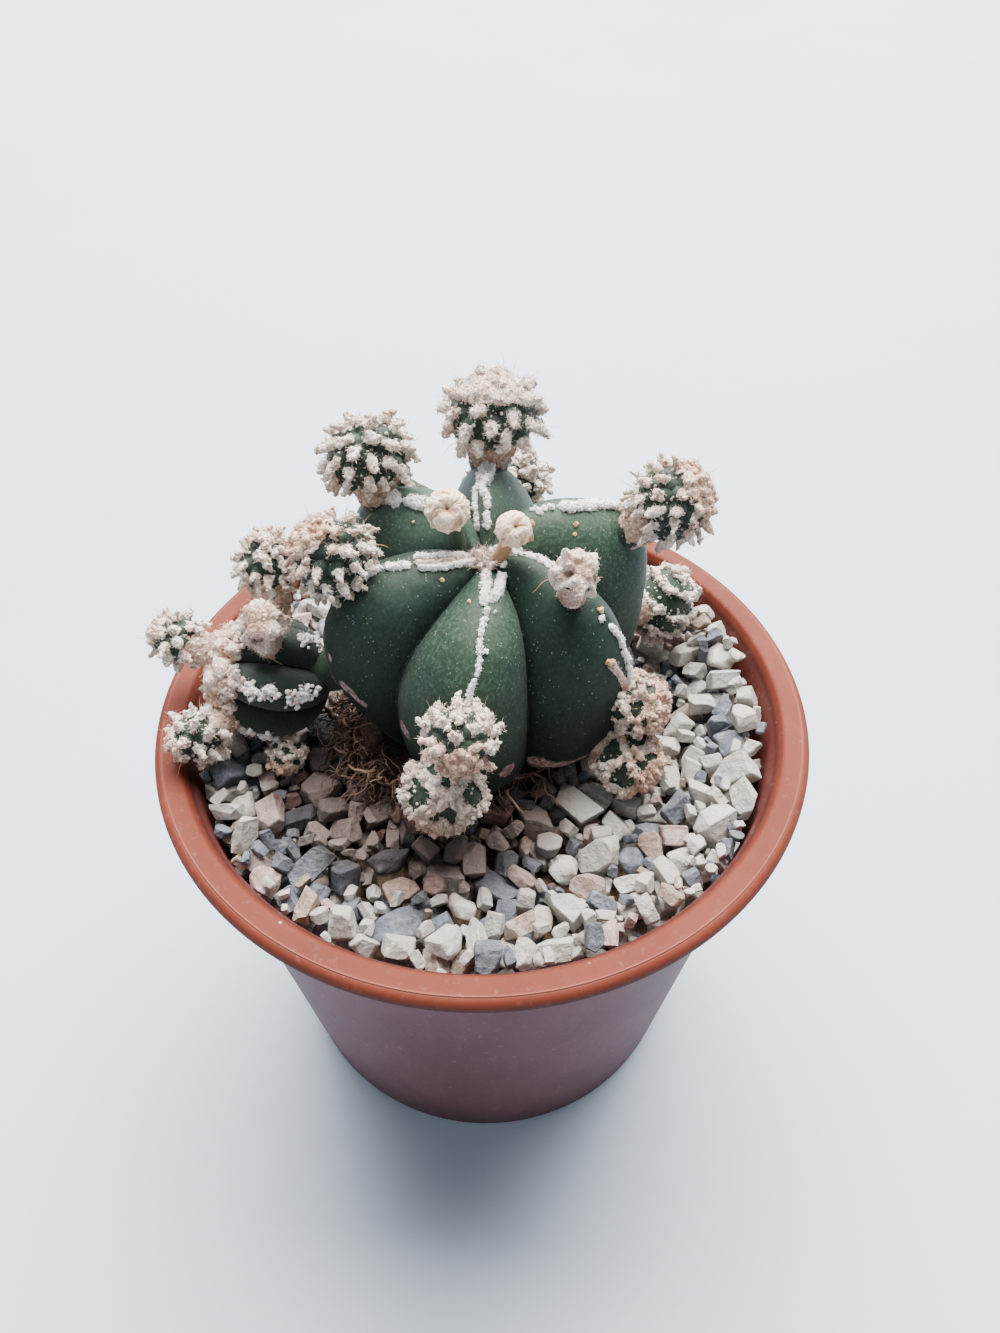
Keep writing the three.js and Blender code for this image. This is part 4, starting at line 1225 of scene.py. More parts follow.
def spaced(path, step):
    """A smooth line through the points of a path, with points at even steps."""
    path = np.asarray(path, float)
    ends = np.vstack([2 * path[0] - path[1], path, 2 * path[-1] - path[-2]])
    t = np.linspace(0, 1, 24, endpoint=False)[:, None]
    line = []
    for a, b, c, d in zip(ends, ends[1:], ends[2:], ends[3:]):
        line.append(0.5 * (2 * b + (c - a) * t + (2 * a - 5 * b + 4 * c - d) * t ** 2
                           + (3 * b - a - 3 * c + d) * t ** 3))
    line = np.vstack([*line, path[-1:]])
    run = np.concatenate([[0], np.cumsum(np.linalg.norm(np.diff(line, axis=0), axis=1))])
    at = np.linspace(0, run[-1], max(4, int(run[-1] / step) + 1))
    return np.stack([np.interp(at, run, line[:, k]) for k in range(3)], -1)

def across_line(points, up):
    """Two directions across a line at each of its points: to the side, and up from it."""
    along = unit(np.gradient(points, axis=0))
    side = unit(np.cross(along, up))
    return side, unit(np.cross(side, along))

STRIP_STEP, STRIP_SIDES = 0.15, 16

def wool_strip(surface, path, width, height, seed, blush):
    """A raised line of wool along a path on a surface, as a skin with its values."""
    points, normals = surface.snap(spaced(path, STRIP_STEP))
    side, up = across_line(points, normals)
    run = np.arange(len(points)) * STRIP_STEP
    end = np.sqrt(np.clip(np.minimum(run, run[-1] - run) / (0.45 * width) + 0.04, 0, 1))
    a = round_angles(STRIP_SIDES)
    x, y = np.cos(a), np.maximum(np.sin(a), -0.35)
    wide = (width / 2 * end)[:, None] * np.ones(STRIP_SIDES)
    edge = points[:, None] + side[:, None] * (wide * np.sign(x))[..., None]
    wide = wide * (1 + 0.34 * rough(edge, 0.30, seed) + 0.16 * rough(edge, 1.1, seed + 1))
    tall = (height * end * (1 + 0.25 * rough(points, 0.9, seed + 2)))[:, None]
    rings = points[:, None] + side[:, None] * (wide * x)[..., None] + up[:, None] * (tall * y)[..., None]
    lump = 0.13 * rough(rings, 0.30, seed + 3) + 0.07 * rough(rings, 0.17, seed + 4)
    rings = rings + up[:, None] * (lump * (y > -0.2))[..., None]
    skin_points, faces = loft(rings, rings[0].mean(0), rings[-1].mean(0))
    # Painted shade on the underside of the strip.
    low = rings - points[:, None] - up[:, None] * tall[..., None] * 0.35
    low = np.clip(-low * up[:, None], 0, None)
    deep = np.concatenate([[0.2], np.clip(low.sum(-1) * 1.2, 0, 0.5).ravel(), [0.2]])
    thin = 0.30 + 0.5 * np.abs(x) ** 3
    wool = 1.14 - thin * (0.5 - 0.5 * rough(rings * 0.9, 0.26, seed + 5))
    wool = np.concatenate([[1.0], wool.ravel(), [1.0]])
    return {"points": skin_points, "faces": faces, "wool": wool, "blush": blush, "deep": deep,
            "chalk": 1.0 - blush, "crumb": 0.5}

def tuft(at, radius, seed, level=4, *, lumpy, blush=0.0):
    """A ball of matted wool."""
    d, faces = ball(level)
    fine = 0.16 * rough(d * radius, 0.35, seed + 1)
    size = 1 + lumpy * rough(d * radius + at, radius * 0.75, seed) + fine
    points = np.asarray(at) + d * size[:, None] * radius
    # Painted shade in the hollows of the ball.
    return {"points": points, "faces": faces, "wool": 1.0, "blush": blush,
            "deep": np.clip((1 - size) * 1.4, 0, 1)}

stem_surface = Surface(stem.data)
print("stem surface ready")

# %% [markdown]
# ## Wool along the crests
# Each crest carries its areoles in a line, and their wool runs together. No two lines are alike:
# the north one starts as two strands of beads, the west one is double, the northeast one opens
# with separate knobs, and the south one narrows to a thread with a joint every few millimetres.
# So each line is a short list of strokes: control points on the skin, a width, a height and a
# pink tone, and for beads a bead length. A point names its rib where it lies on another one.

# %% Crest wool
STROKES = {  # piece: (control points as t, u, or rib, t, u), width, height, blush, bead length
    "northeast": [
        ([(0.048, -0.08), (0.06, 0.04), (0.082, 0.02)], 1.2, 0.6, 0, 1.0),
        ([(0.052, 0.22), (0.07, 0.26)], 0.8, 0.45, 0, 0.8),
        ([(0.084, 0.0), (0.11, -0.08), (0.15, -0.07), (0.2, 0.0), (0.285, 0.02)], 1.55, 0.75, 0, 0),
    ],
    "north": [
        ([(0.06, 0.95), (0.056, 0.8), (0.062, 0.7)], 0.9, 0.5, 0.1, 0),
        ([(0.062, 0.7), (0.074, 0.6), (0.08, 0.42), (0.084, 0.15)], 0.85, 0.5, 0, 0),
        ([(0.014, -0.33), (0.021, -0.22), (0.027, -0.26)], 0.75, 0.5, 0.1, 0),
        ([(0.028, -0.26), (0.036, -0.15), (0.052, 0.05), (0.07, 0.0)], 0.85, 0.5, 0, 0),
        ([(0.066, 0.04), (0.09, -0.08), (0.13, -0.15), (0.2, -0.08), (0.25, 0.0)], 1.15, 0.6, 0, 0),
        ([(0.078, 0.18), (0.1, 0.08), (0.14, -0.02), (0.2, 0.0), (0.25, 0.02)], 1.1, 0.6, 0, 0),
    ],
    "northwest": [
        ([(0.08, 0.27), (0.099, 0.28), (0.128, 0.28), (0.15, 0.27)], 1.6, 0.8, 0, 0),
        ([(0.157, 0.27), (0.172, 0.27), (0.202, 0.15), (0.241, 0.0), (0.3, 0.0)], 1.95, 0.9, 0, 0),
    ],
    "west": [
        ([(0.026, 0.8), (0.018, 0.35)], 0.9, 0.5, 0, 0.8),
        ([(0.012, -0.3), (0.03, 0.02), (0.052, 0.02), (0.087, -0.07)], 0.78, 0.72, 0, 0),
        ([(0.012, 0.4), (0.03, 0.44), (0.055, 0.36), (0.088, 0.2)], 0.78, 0.72, 0, 0),
        ([(0.02, 0.2), (0.05, 0.19), (0.086, 0.07)], 0.7, 0.34, 0.9, 0),
        ([(0.093, 0.08), (0.121, 0.05), (0.146, -0.03)], 1.1, 0.6, 0, 0),
        ([(0.15, -0.02), (0.19, 0.0), (0.22, 0.0)], 1.0, 0.55, 0.1, 0),
    ],
    "south": [
        ([("north", 0.01, -1.0), ("northeast", 0.004, 0.45), ("northeast", 0.006, -0.52),
          ("southeast", 0.03, 0.92), ("southeast", 0.04, -0.6)], 0.9, 0.55, 0, 0.85),
        ([(0.012, -0.18), (0.042, -0.18), (0.076, -0.14), (0.1, -0.1)], 1.2, 0.7, 0, 0),
        ([("southeast", 0.052, -0.84), (0.058, 0.57), (0.071, 0.25), (0.09, 0.06)], 1.15, 0.7, 0, 0),
        ([(0.104, -0.06), (0.124, -0.05)], 0.68, 0.5, 0.1, 0),
        ([(0.127, -0.05), (0.15, -0.08), (0.178, -0.07)], 0.62, 0.45, 0.08, 0),
        ([(0.182, -0.06), (0.2, -0.05), (0.225, -0.02)], 0.58, 0.45, 0.12, 0),
        ([(0.227, -0.02), (0.25, 0.0), (0.28, 0.0)], 0.6, 0.45, 0.1, 0),
        ([(0.282, 0.0), (0.306, -0.02), (0.36, -0.03)], 0.62, 0.45, 0.05, 0),
        ([(0.118, 0.09), (0.119, 0.16)], 0.6, 0.4, 0, 0),
        ([(0.217, 0.0), (0.216, 0.1)], 0.5, 0.4, 0, 0),
    ],
    "southeast": [
        ([("northeast", 0.024, -0.86), ("northeast", 0.05, -0.92), (0.082, 0.66), (0.098, 0.3),
          (0.12, 0.15)], 1.5, 0.5, 0.3, 0),
        ([(0.258, -0.1), (0.272, -0.06)], 1.3, 0.7, 0, 0),
        ([(0.29, -0.04), (0.337, 0.0), (0.365, -0.02)], 0.75, 0.45, 0.1, 0),
        ([(0.368, -0.02), (0.4, 0.0), (0.47, 0.0)], 0.9, 0.5, 0.15, 0),
    ],
}
BEAD_STEP = 0.05
WOOL_WIDER, WOOL_LOWER = 1.08, 0.95

def bead_paths(path, length):
    """Cuts a path into short pieces with small gaps."""
    line = spaced(path, BEAD_STEP)
    count = max(1, round(BEAD_STEP * (len(line) - 1) / length))
    cuts = np.linspace(0, len(line) - 1, count + 1)
    return [line[int(a + 1):int(b)] for a, b in zip(cuts, cuts[1:]) if b - a > 5]

def make_crest_wool(rib, seed):
    parts = []
    for k, (controls, width, height, blush, bead) in enumerate(STROKES[rib]):
        path = np.array([skin(rib, *c) if len(c) == 2 else skin(*c) for c in controls])
        for j, piece in enumerate(bead_paths(path, bead) if bead else [path]):
            parts.append(wool_strip(stem_surface, piece[:: max(1, len(piece) // 5)], width * WOOL_WIDER,
                                    height * WOOL_LOWER, seed + 31 * k + 7 * j, blush))
    return coated("crest_wool_" + rib, parts, "crest_wool", "wool_line_" + rib,
                  hair=16.0, length=0.36, seed=seed)

crest_wool = [make_crest_wool(rib, 100 + 50 * i) for i, rib in enumerate(STROKES)]
print("crest wool:", sum(len(o.data.polygons) for o in crest_wool), "faces")

# %% [markdown]
# ## The growing point
# The middle of the crown holds dry, brownish wool with the curled remains of old flowers. It is
# a heap of tufts of several sizes, darker than the lines that leave it.

# %% Growing point
APEX_TUFTS, TUFT_SPACING = 13, 0.55

def make_apex():
    rng = np.random.default_rng(8)
    middle = np.array((*STEM_AXIS, APEX_Z + 0.5))
    parts = []
    for i in range(APEX_TUFTS):
        a, r = i * GOLDEN_ANGLE, TUFT_SPACING * math.sqrt(i)
        at = middle + (r * math.cos(a), r * math.sin(a), rng.uniform(-0.2, 0.5))
        parts.append(tuft(at, rng.uniform(0.45, 0.85), 300 + i, 3, blush=rng.uniform(0.3, 1), lumpy=0.5))
    return coated("growing_point", parts, "offset_wool", "apex_wool", hair=10.0, length=0.9, seed=7)

apex = make_apex()
print("growing point:", len(apex.data.polygons), "faces")

# %% [markdown]
# ## The offsets
# An offset is a small plant with its tubercles in a spiral round its own growing point. One
# pattern function says, for any direction from the centre, how high the skin stands and how much
# wool it carries, so that the body, the crust of small lumps and the woolly beaks agree. Four
# habits are seen on the plant: beaks on the tips, a net of wool round green windows, bands, and
# the smooth waxy folds of the two youngest.

# %% Offset table
class Offset:
    """What tells one offset from another. Lengths are in millimetres."""

    kind, seed, spines = "beaks", 1, 8
    young, lowest = 42, 148  # degrees from the growing point: end of the young wool, lowest beaks
    rise, droop, tooth, lumpy = 1.5, 0.4, 0.5, 0.5  # tubercles: height, lean, width, unevenness
    fill, pink = 0.5, 0.5  # how far wool reaches from a tip or border, or for bands their number; blush
    crust, granules, hair = 0.5, 0.7, 2.6  # lumps on old and on young wool, hairs per square mm

    def __init__(self, place, at, radius, long, faces, root, count, **others):
        _, plant, rest = place.rpartition("branch_")
        vars(self).update(others, piece=place + "_offset", node=f"{plant}offset_{rest}", at=at,
                          radius=radius, long=long, faces=faces, root=root, count=count)

OFFSETS = [
    Offset("north", (2.1, 18.8, 103.7), 6.9, 0.79, (0, 0.05, 1), (1.4, 18.2, 96), 46, young=43,
           rise=1.7, droop=0.55, fill=0.34, pink=0.3, crust=0.15, hair=9, seed=11, spines=14, lowest=118,
           lumpy=0.32, granules=0.12),
    Offset("northwest", (-14.2, 15.0, 100.4), 6.4, 0.86, (-0.2, 0.15, 1), (-13.0, 14.0, 93), 54,
           young=15, rise=1.8, droop=0.75, tooth=0.47, fill=0.40, pink=0.4, crust=0.4, seed=23,
           lowest=130),
    Offset("west", (-18.0, 1.9, 94.4), 6.0, 1.0, (-0.6, 0.1, 0.8), (-14.5, 1.2, 88), 56, young=44,
           rise=1.8, droop=0.6, tooth=0.44, fill=0.42, pink=0.85, crust=0.35, seed=37, spines=14),
    Offset("northeast", (24.3, 8.9, 96.4), 5.8, 1.05, (0.8, 0.05, 0.55), (18.0, 8.6, 91), 54, young=50,
           rise=1.7, droop=0.6, tooth=0.44, fill=0.42, pink=0.85, crust=0.35, seed=41),
    Offset("southeast_crest", (11.2, -5.6, 97.6), 3.7, 1.0, (0.2, -0.45, 0.85), (11.0, -3.0, 90), 7,
           kind="folds", young=20, rise=2.3, pink=1.0, crust=0.0, hair=0.9, seed=53, spines=3),
    Offset("south_upper", (-2.8, -18.7, 84.2), 4.9, 0.95, (-0.05, -0.9, -0.15), (-1.7, -11, 82), 34,
           young=34, rise=1.7, droop=0.45, tooth=0.48, fill=0.42, pink=1.1, crust=0.3, seed=61, spines=3),
    Offset("south_lower", (-5.3, -18.0, 72.6), 5.6, 0.95, (-0.2, -0.85, -0.35), (-2.8, -10, 73), 13,
           kind="net", young=30, rise=1.1, fill=0.52, pink=0.6, crust=1.0, seed=71, spines=3),
    Offset("southeast_upper", (20.2, -7.6, 76.6), 4.4, 0.95, (0.75, -0.45, 0.2), (14.5, -5.0, 78), 22,
           kind="net", young=52, rise=1.2, pink=1.3, crust=1.0, seed=83, spines=4),
    Offset("southeast_lower", (19.3, -10.6, 68.9), 5.0, 0.95, (0.7, -0.65, -0.1), (13.0, -6.0, 71), 12,
           kind="net", young=38, rise=1.2, fill=0.42, pink=1.3, crust=1.0, seed=97, spines=4),
    Offset("east", (26.6, 14.8, 73.6), 5.0, 1.25, (0.45, 0.1, 0.9), (17.5, 10.5, 76), 24, kind="bands",
           young=12, rise=1.4, fill=10.5, pink=0.25, crust=0.8, seed=103),
    Offset("north_behind", (4.6, 27.6, 86.6), 6.2, 1.0, (0.15, 0.75, 0.6), (2.5, 17.0, 85), 40,
           young=38, fill=0.75, crust=0.55, pink=0.35, hair=0.8, seed=113),
    Offset("branch_upper", (-28.2, 9.6, 87.2), 4.9, 0.95, (-0.3, 0.25, 0.95), (-27.8, 4.2, 78), 46,
           young=24, rise=1.3, droop=0.35, tooth=0.42, fill=0.6, crust=0.6, seed=127),
    Offset("branch_crest", (-28.0, -1.2, 86.0), 4.0, 0.9, (-0.1, -0.35, 0.95), (-27.6, 0.2, 78), 12,
           kind="folds", young=24, rise=2.0, pink=0.95, crust=0.15, hair=7, seed=131, spines=2),
    Offset("branch_tip", (-41.0, 4.2, 78.6), 4.1, 1.05, (-0.9, 0.2, 0.35), (-33.0, 1.5, 76.5), 28,
           young=44, rise=1.4, tooth=0.46, fill=0.55, seed=139),
    Offset("branch_lower", (-37.3, -8.6, 73.6), 4.0, 1.1, (-0.7, -0.5, -0.1), (-31.0, -2.5, 73), 26,
           young=36, rise=1.4, droop=0.3, tooth=0.46, pink=0.75, seed=149),
    Offset("branch_foot", (-26.9, -7.2, 67.4), 2.8, 0.95, (-0.1, -0.85, -0.3), (-27.4, -2.0, 71), 16,
           kind="net", young=38, rise=0.8, fill=0.45, pink=1.0, crust=1.0, seed=151, spines=0),
]
print("offsets:", len(OFFSETS))

# %% Offset shapes
def spiral(count, span, start):
    """Directions that wind down from the growing point. A span of 2 goes round the whole ball."""
    k = np.arange(count)
    z = 1 - span * (k + 0.5) / count
    a = k * GOLDEN_ANGLE + start
    flat = np.sqrt(1 - z * z)
    return np.stack([flat * np.cos(a), flat * np.sin(a), z], -1)

def tips_of(o):
    """Directions of the tubercles round the growing point, each a little out of line."""
    rng = np.random.default_rng(o.seed)
    tips = spiral(o.count, 1.8, o.seed)
    tips = unit(tips + rng.normal(0, 0.3 / math.sqrt(o.count), tips.shape))
    return tips, rng.uniform(0.75, 1.2, o.count)

def in_place(o, local):
    """From an offset's own directions, with its growing point along Z, to the plant's."""
    return np.asarray(o.at) + (local * (1, 1, o.long)) @ np.array(basis(o.faces))

def polar_of(d):
    return np.degrees(np.arccos(np.clip(d[:, 2], -1, 1)))

def pattern(o, d):
    """For directions from the centre: height of the skin, wool, blush and painted shade."""
    near = np.sort(np.arccos(np.clip(d @ tips_of(o)[0].T, -1, 1)), axis=1) * math.sqrt(o.count) / 2.1
    centre, border = near[:, 0], near[:, 1] - near[:, 0]
    cloud = 0.6 * rough(d * o.radius, 1.6, o.seed) + 0.4 * rough(d * o.radius, 0.65, o.seed + 1)
    polar = polar_of(d)
    bulge = np.clip(1.05 - centre, 0, 1) ** 0.7
    young = smoothstep(polar + 14 * cloud, o.young + 8, o.young - 8)
    skirt = smoothstep(polar, 125, 155)
    if o.kind == "net":
        wool = smoothstep(border + 0.35 * cloud, o.fill + 0.1, o.fill - 0.1)
        height = 0.35 + 0.35 * wool + 0.25 * cloud
    elif o.kind == "bands":
        wool = smoothstep(np.sin(np.radians(polar) * o.fill) + 1.1 * cloud, 0.25, 0.6)
        height = 0.5 + 0.35 * wool
    elif o.kind == "folds":
        crease = 1 - 2.2 * np.abs(rough(d * o.radius, 2.6, o.seed + 2))
        wool, height = np.ones(len(d)), 0.62 * bulge + 0.34 * crease + 0.1 * cloud
    else:
        wool = smoothstep(centre + 0.6 * cloud, o.fill + 0.13, o.fill - 0.13)
        height = 0.5 * bulge
    if o.kind != "folds":
        height = height * (1 - young) + (0.62 + 0.3 * cloud) * young
    blush = smoothstep(polar, o.young + 35, o.young - 10)
    blush = np.clip(o.pink * (0.35 + 0.8 * blush + 0.8 * cloud), 0, 1)
    # Painted shade where the skin lies low, on the underside and in the hollows of the noise.
    deep = 0.75 * smoothstep(height, 0.35, 0.0) + 0.3 * skirt + 0.5 * np.clip(-cloud - 0.15, 0, 1)
    return (height, np.maximum.reduce([wool, young, skirt]), np.clip(blush + 0.4 * skirt, 0, 1),
            np.clip(deep, 0, 1))

def offset_core(o):
    """The ball under the wool, with a low swelling at each tubercle."""
    d, faces = ball(6 if o.radius > 4.3 or o.kind == "folds" else 5)
    height, wool, blush, deep = pattern(o, d)
    felt = 0.16 * rough(d * o.radius, 0.6, o.seed + 3) + 0.08 * rough(d * o.radius, 0.3, o.seed + 4)
    size = o.radius - o.rise * (1 - height) + wool * (0.1 + felt)
    slim = 1 - 0.22 * smoothstep(-d[:, 2], 0.6, 0.95)
    return {"points": in_place(o, d * size[:, None] * np.column_stack([slim, slim, slim * 0 + 1])),
            "faces": faces, "wool": wool, "blush": blush, "deep": deep,
            "crumb": np.maximum(o.crust * wool, 0.18 if o.kind != "folds" else 0)}

def lumps(at, along, size, level, seed, lumpy, taper=0.0, blush=0.0, deep=0.0, chalk=0.0):
    """Many lumps of matted wool as one skin: a place, a long axis and two radii for each."""
    d, faces = ball(level)
    at, along, size = (np.asarray(v, float) for v in (at, along, size))
    across = unit(np.cross(along, (0.31, 0.17, 0.93)))
    axes = np.stack([across, np.cross(along, across), along], 1)
    slim = 1 - taper * d[:, 2]
    shape = d[None] * np.column_stack([slim, slim, slim * 0 + 1]) * size[:, None, (0, 0, 1)]
    grown = shape @ axes
    spot = at[:, None] + grown
    bump = 0.6 * rough(spot, 0.7, seed) + 0.4 * rough(spot, 0.3, seed + 1)
    skin_points = at[:, None] + grown * (1 + lumpy * bump)[..., None]
    order = np.arange(len(at))[:, None, None] * len(d)
    each = {key: np.repeat(np.broadcast_to(value, len(at)), len(d))
            for key, value in (("blush", blush), ("deep", deep), ("chalk", chalk))}
    # Painted shade under each tapering lump and in its hollows.
    foot = np.tile(0.45 * smoothstep(-d[:, 2], 0.1, 0.9) * (taper > 0), len(at))
    each["deep"] = np.clip(each["deep"] + foot + 0.8 * np.clip(-bump.ravel() - 0.1, 0, 1), 0, 1)
    return {"points": skin_points.reshape(-1, 3), "faces": (faces[None] + order).reshape(-1, 3),
            "wool": 1.0, "crumb": 0.35, **each}

def beaks(o):
    """Woolly beaks on the tips: a tapering lump, a smaller one at its point and two granules."""
    rng = np.random.default_rng(o.seed + 5)
    tips, strength = tips_of(o)
    polar = polar_of(tips)
    keep = (polar > o.young - 4) & (polar < o.lowest)
    tips, strength, polar = tips[keep], strength[keep], polar[keep]
    turn = np.array(basis(o.faces))
    out = tips @ turn
    away = unit(tips * tips[:, 2:] - (0, 0, 1) + 1e-6) @ turn
    along = unit(out + away * o.droop + rng.normal(0, 0.22, out.shape))
    wide = o.tooth * 1.5 * o.radius / math.sqrt(o.count) * rng.uniform(0.75, 1.15, len(out))
    long = o.rise * strength
    blush = np.clip(o.pink * (0.1 + 0.9 * smoothstep(polar, o.young + 45, o.young))
                    + rng.normal(0, 0.15, len(out)), 0, 1)
    foot = in_place(o, tips * (o.radius - o.rise * 0.75))
    side = unit(rng.normal(size=out.shape))
    parts = [lumps(foot + along * (long * 0.4)[:, None], along, np.column_stack([wide, long * 0.72]), 3,
                   o.seed, o.lumpy, 0.34, blush),
             lumps(foot + along * (long * 0.95)[:, None] + side * (wide * 0.35)[:, None],
                   unit(along + side * 0.5), np.column_stack([wide * 0.62, wide * 0.8]), 2, o.seed + 2,
                   0.7, 0.15, np.clip(blush + 0.25 * o.pink, 0, 1))]
    # The granules carry a little painted shade.
    for k in range(2):
        side = unit(rng.normal(size=out.shape))
        parts.append(lumps(foot + along * (long * rng.uniform(0.1, 0.9, len(out)))[:, None]
                           + side * wide[:, None] * 0.95, side, np.repeat(wide[:, None] * 0.4, 2, 1), 2,
                           o.seed + 9 + k, 0.6, 0, blush, 0.15))
    return parts

CRUST_GAP = 0.95

def crusted(o):
    """Small lumps wherever the pattern has wool, so that the crust is knobbly."""
    rng = np.random.default_rng(o.seed + 6)
    count = int(4 * math.pi * o.radius ** 2 / CRUST_GAP ** 2)
    d = unit(spiral(count, 2, 0) + rng.normal(0, 0.35 * CRUST_GAP / o.radius, (count, 3)))
    height, wool, blush, _ = pattern(o, d)
    share = np.where(polar_of(d) < o.young, o.granules, o.crust * 0.75)
    keep = (wool > 0.5) & (rng.uniform(size=count) < share) & (d[:, 2] > -0.85)
    d, height, blush = d[keep], height[keep], blush[keep]
    size = CRUST_GAP * rng.uniform(0.32, 0.62, len(d))
    at = in_place(o, d * (o.radius - o.rise * (1 - height) + 0.35 * size)[:, None])
    along = unit(d @ np.array(basis(o.faces)) + rng.normal(0, 0.4, d.shape))
    return lumps(at, along, np.column_stack([size, size * rng.uniform(0.8, 1.5, len(d))]), 2, o.seed + 7,
                 0.7, 0, blush, 0.0)

def stalk(start, end, low, high, seed, sides=28, **values):
    """A rod between two points whose radius changes evenly, with a slightly uneven skin."""
    line = spaced([start, (np.asarray(start) + end) / 2, end], 0.3)
    side, up = across_line(line, np.tile(basis(np.asarray(end) - start)[0], (len(line), 1)))
    radius = np.linspace(low, high, len(line))
    a = round_angles(sides)[:, None]
    rings = line[:, None] + (side[:, None] * np.cos(a) + up[:, None] * np.sin(a)) * radius[:, None, None]
    rings = rings + 0.05 * rough(rings, 0.8, seed)[..., None]
    points, faces = loft(rings, line[0], line[-1])
    return {"points": points, "faces": faces, **values}

def neck(o):
    """The short stalk between the offset and the plant: wool above, reddish skin below."""
    rod = stalk(o.root, o.at, o.radius * 0.36, o.radius * 0.62, o.seed)
    way = np.subtract(o.at, o.root)
    share = np.clip(((rod["points"] - o.root) @ way) / np.sum(way ** 2), 0, 1)
    ruffle = 0.25 * rough(rod["points"], 0.8, o.seed) + 0.12 * rough(rod["points"], 0.35, o.seed)
    wool = smoothstep(share + 0.4 * ruffle, 0.1, 0.35)
    points = rod["points"] + unit(rod["points"] - o.at) * ruffle[:, None]
    # Painted shade over the whole neck, varying with its ruffles.
    return {"points": points, "faces": rod["faces"], "wool": wool, "blush": 0.75, "deep": 0.3 + ruffle,
            "crumb": 0.4 * wool}

def make_offset(o):
    parts = [offset_core(o), neck(o)]
    if o.kind == "beaks":
        parts += beaks(o)
    if o.kind != "folds":
        parts.append(crusted(o))
    return coated(o.piece, parts, "offset_wool", o.node, hair=o.hair, length=0.62, crumbs=2.6,
                  seed=o.seed)

offsets = [make_offset(o) for o in OFFSETS]
print("offsets:", len(offsets), "with", sum(len(o.data.polygons) for o in offsets), "faces")

# %% [markdown]
# ## The branch
# The offset on the left has grown into a small stem with six ribs, lying on its side. Its crests
# carry wool in clusters like popcorn and not in lines, and its growing point is a loose pink mass
# that spreads over the ribs next to it. The clusters are scattered along paths on its skin.

# %% Branch
BRANCH_AT, BRANCH_RADIUS, BRANCH_LONG = np.array((-28.3, 0.4, 75.0)), 8.4, 0.92
BRANCH_RIBS, BRANCH_DEPTH = 6, 0.34
BRANCH_FRAME = basis((-0.92, -0.06, 0.3))
BRANCH_TURN = 0.55
BRANCH_ROWS, BRANCH_COLUMNS = 62, 192
PINK_LUMPS, PINK_SPACING, FIRST_LUMPS = 150, 0.072, 60

def branch_point(a, turn):
    """A point of the branch: a is the angle from its growing point, turn goes round the ribs."""
    notch = 1 - BRANCH_DEPTH * (1 - np.abs(np.cos(BRANCH_RIBS * turn / 2)) ** 0.6)
    flat = BRANCH_RADIUS * np.sin(a) ** 0.9 * notch
    along = BRANCH_RADIUS * BRANCH_LONG * np.cos(a) - np.exp(-(a / 0.3) ** 2)
    u, v, w = BRANCH_FRAME
    return BRANCH_AT + (flat * np.cos(turn + BRANCH_TURN))[..., None] * u \
        + (flat * np.sin(turn + BRANCH_TURN))[..., None] * v + along[..., None] * w

def branch_skin():
    a = np.linspace(0, np.pi, BRANCH_ROWS)[1:-1]
    rings = branch_point(a[:, None], round_angles(BRANCH_COLUMNS)[None])
    rings = rings + 0.07 * rough(rings, 1.4, 77)[..., None]
    points, faces = loft(rings, branch_point(np.array(0.0), np.array(0.0)),
                         branch_point(np.array(np.pi), np.array(0.0)))
    # The branch's skin is painted with strong shade, so it shows a darker green.
    return {"points": points, "faces": faces, "deep": 0.9}

BRANCH_WOOL = [  # rib, from and to as angles from the growing point, width, thickness, blush, chalk
    (0, 0.45, 1.6, 1.6, 3, 0.5, 0.2), (1, 0.45, 1.6, 1.6, 3, 0.5, 0.2),
    (5, 0.45, 1.9, 1.9, 3, 0.4, 0.3), (2, 0.45, 0.95, 1.9, 5, 0.7, 0.1),
    (2, 1.05, 1.45, 1.9, 5, 0.1, 0.9), (2, 1.55, 1.80, 1.5, 5, 0.0, 0.9),
    (3, 0.55, 0.95, 1.9, 5, 0.6, 0.2), (3, 1.00, 1.30, 1.9, 6, 0.25, 0.8),
    (3, 1.34, 1.66, 1.7, 7, 0.15, 0.9), (3, 1.70, 2.20, 2.1, 6, 0.0, 1.0),
    (4, 0.45, 1.10, 2.0, 5, 0.6, 0.2), (4, 1.75, 2.30, 1.5, 6, 0.0, 0.9),
]

def popcorn(surface, path, width, thick, seed, blush, chalk):
    """A cluster of small white lumps, scattered along a path on a surface."""
    rng = np.random.default_rng(seed)
    line = spaced(path, 0.1)
    count = max(8, int(0.13 * len(line) * thick * width))
    clump = rng.integers(0, len(line), max(5, count // 8))
    at = line[clump[rng.integers(0, len(clump), count)]] + rng.normal(0, width * 0.26, (count, 3))
    at, normals = surface.snap(at)
    size = rng.uniform(0.15, 0.40, count)
    along = unit(normals + rng.normal(0, 0.35, at.shape))
    tan = np.where(rng.uniform(size=count) < 0.3, rng.uniform(0.3, 0.9, count), 0)
    return lumps(at + normals * size[:, None] * 0.5, along, np.column_stack([size, size * 1.2]), 2, seed,
                 0.6, 0, np.clip(blush + tan, 0, 1), 0, chalk * (1 - tan))

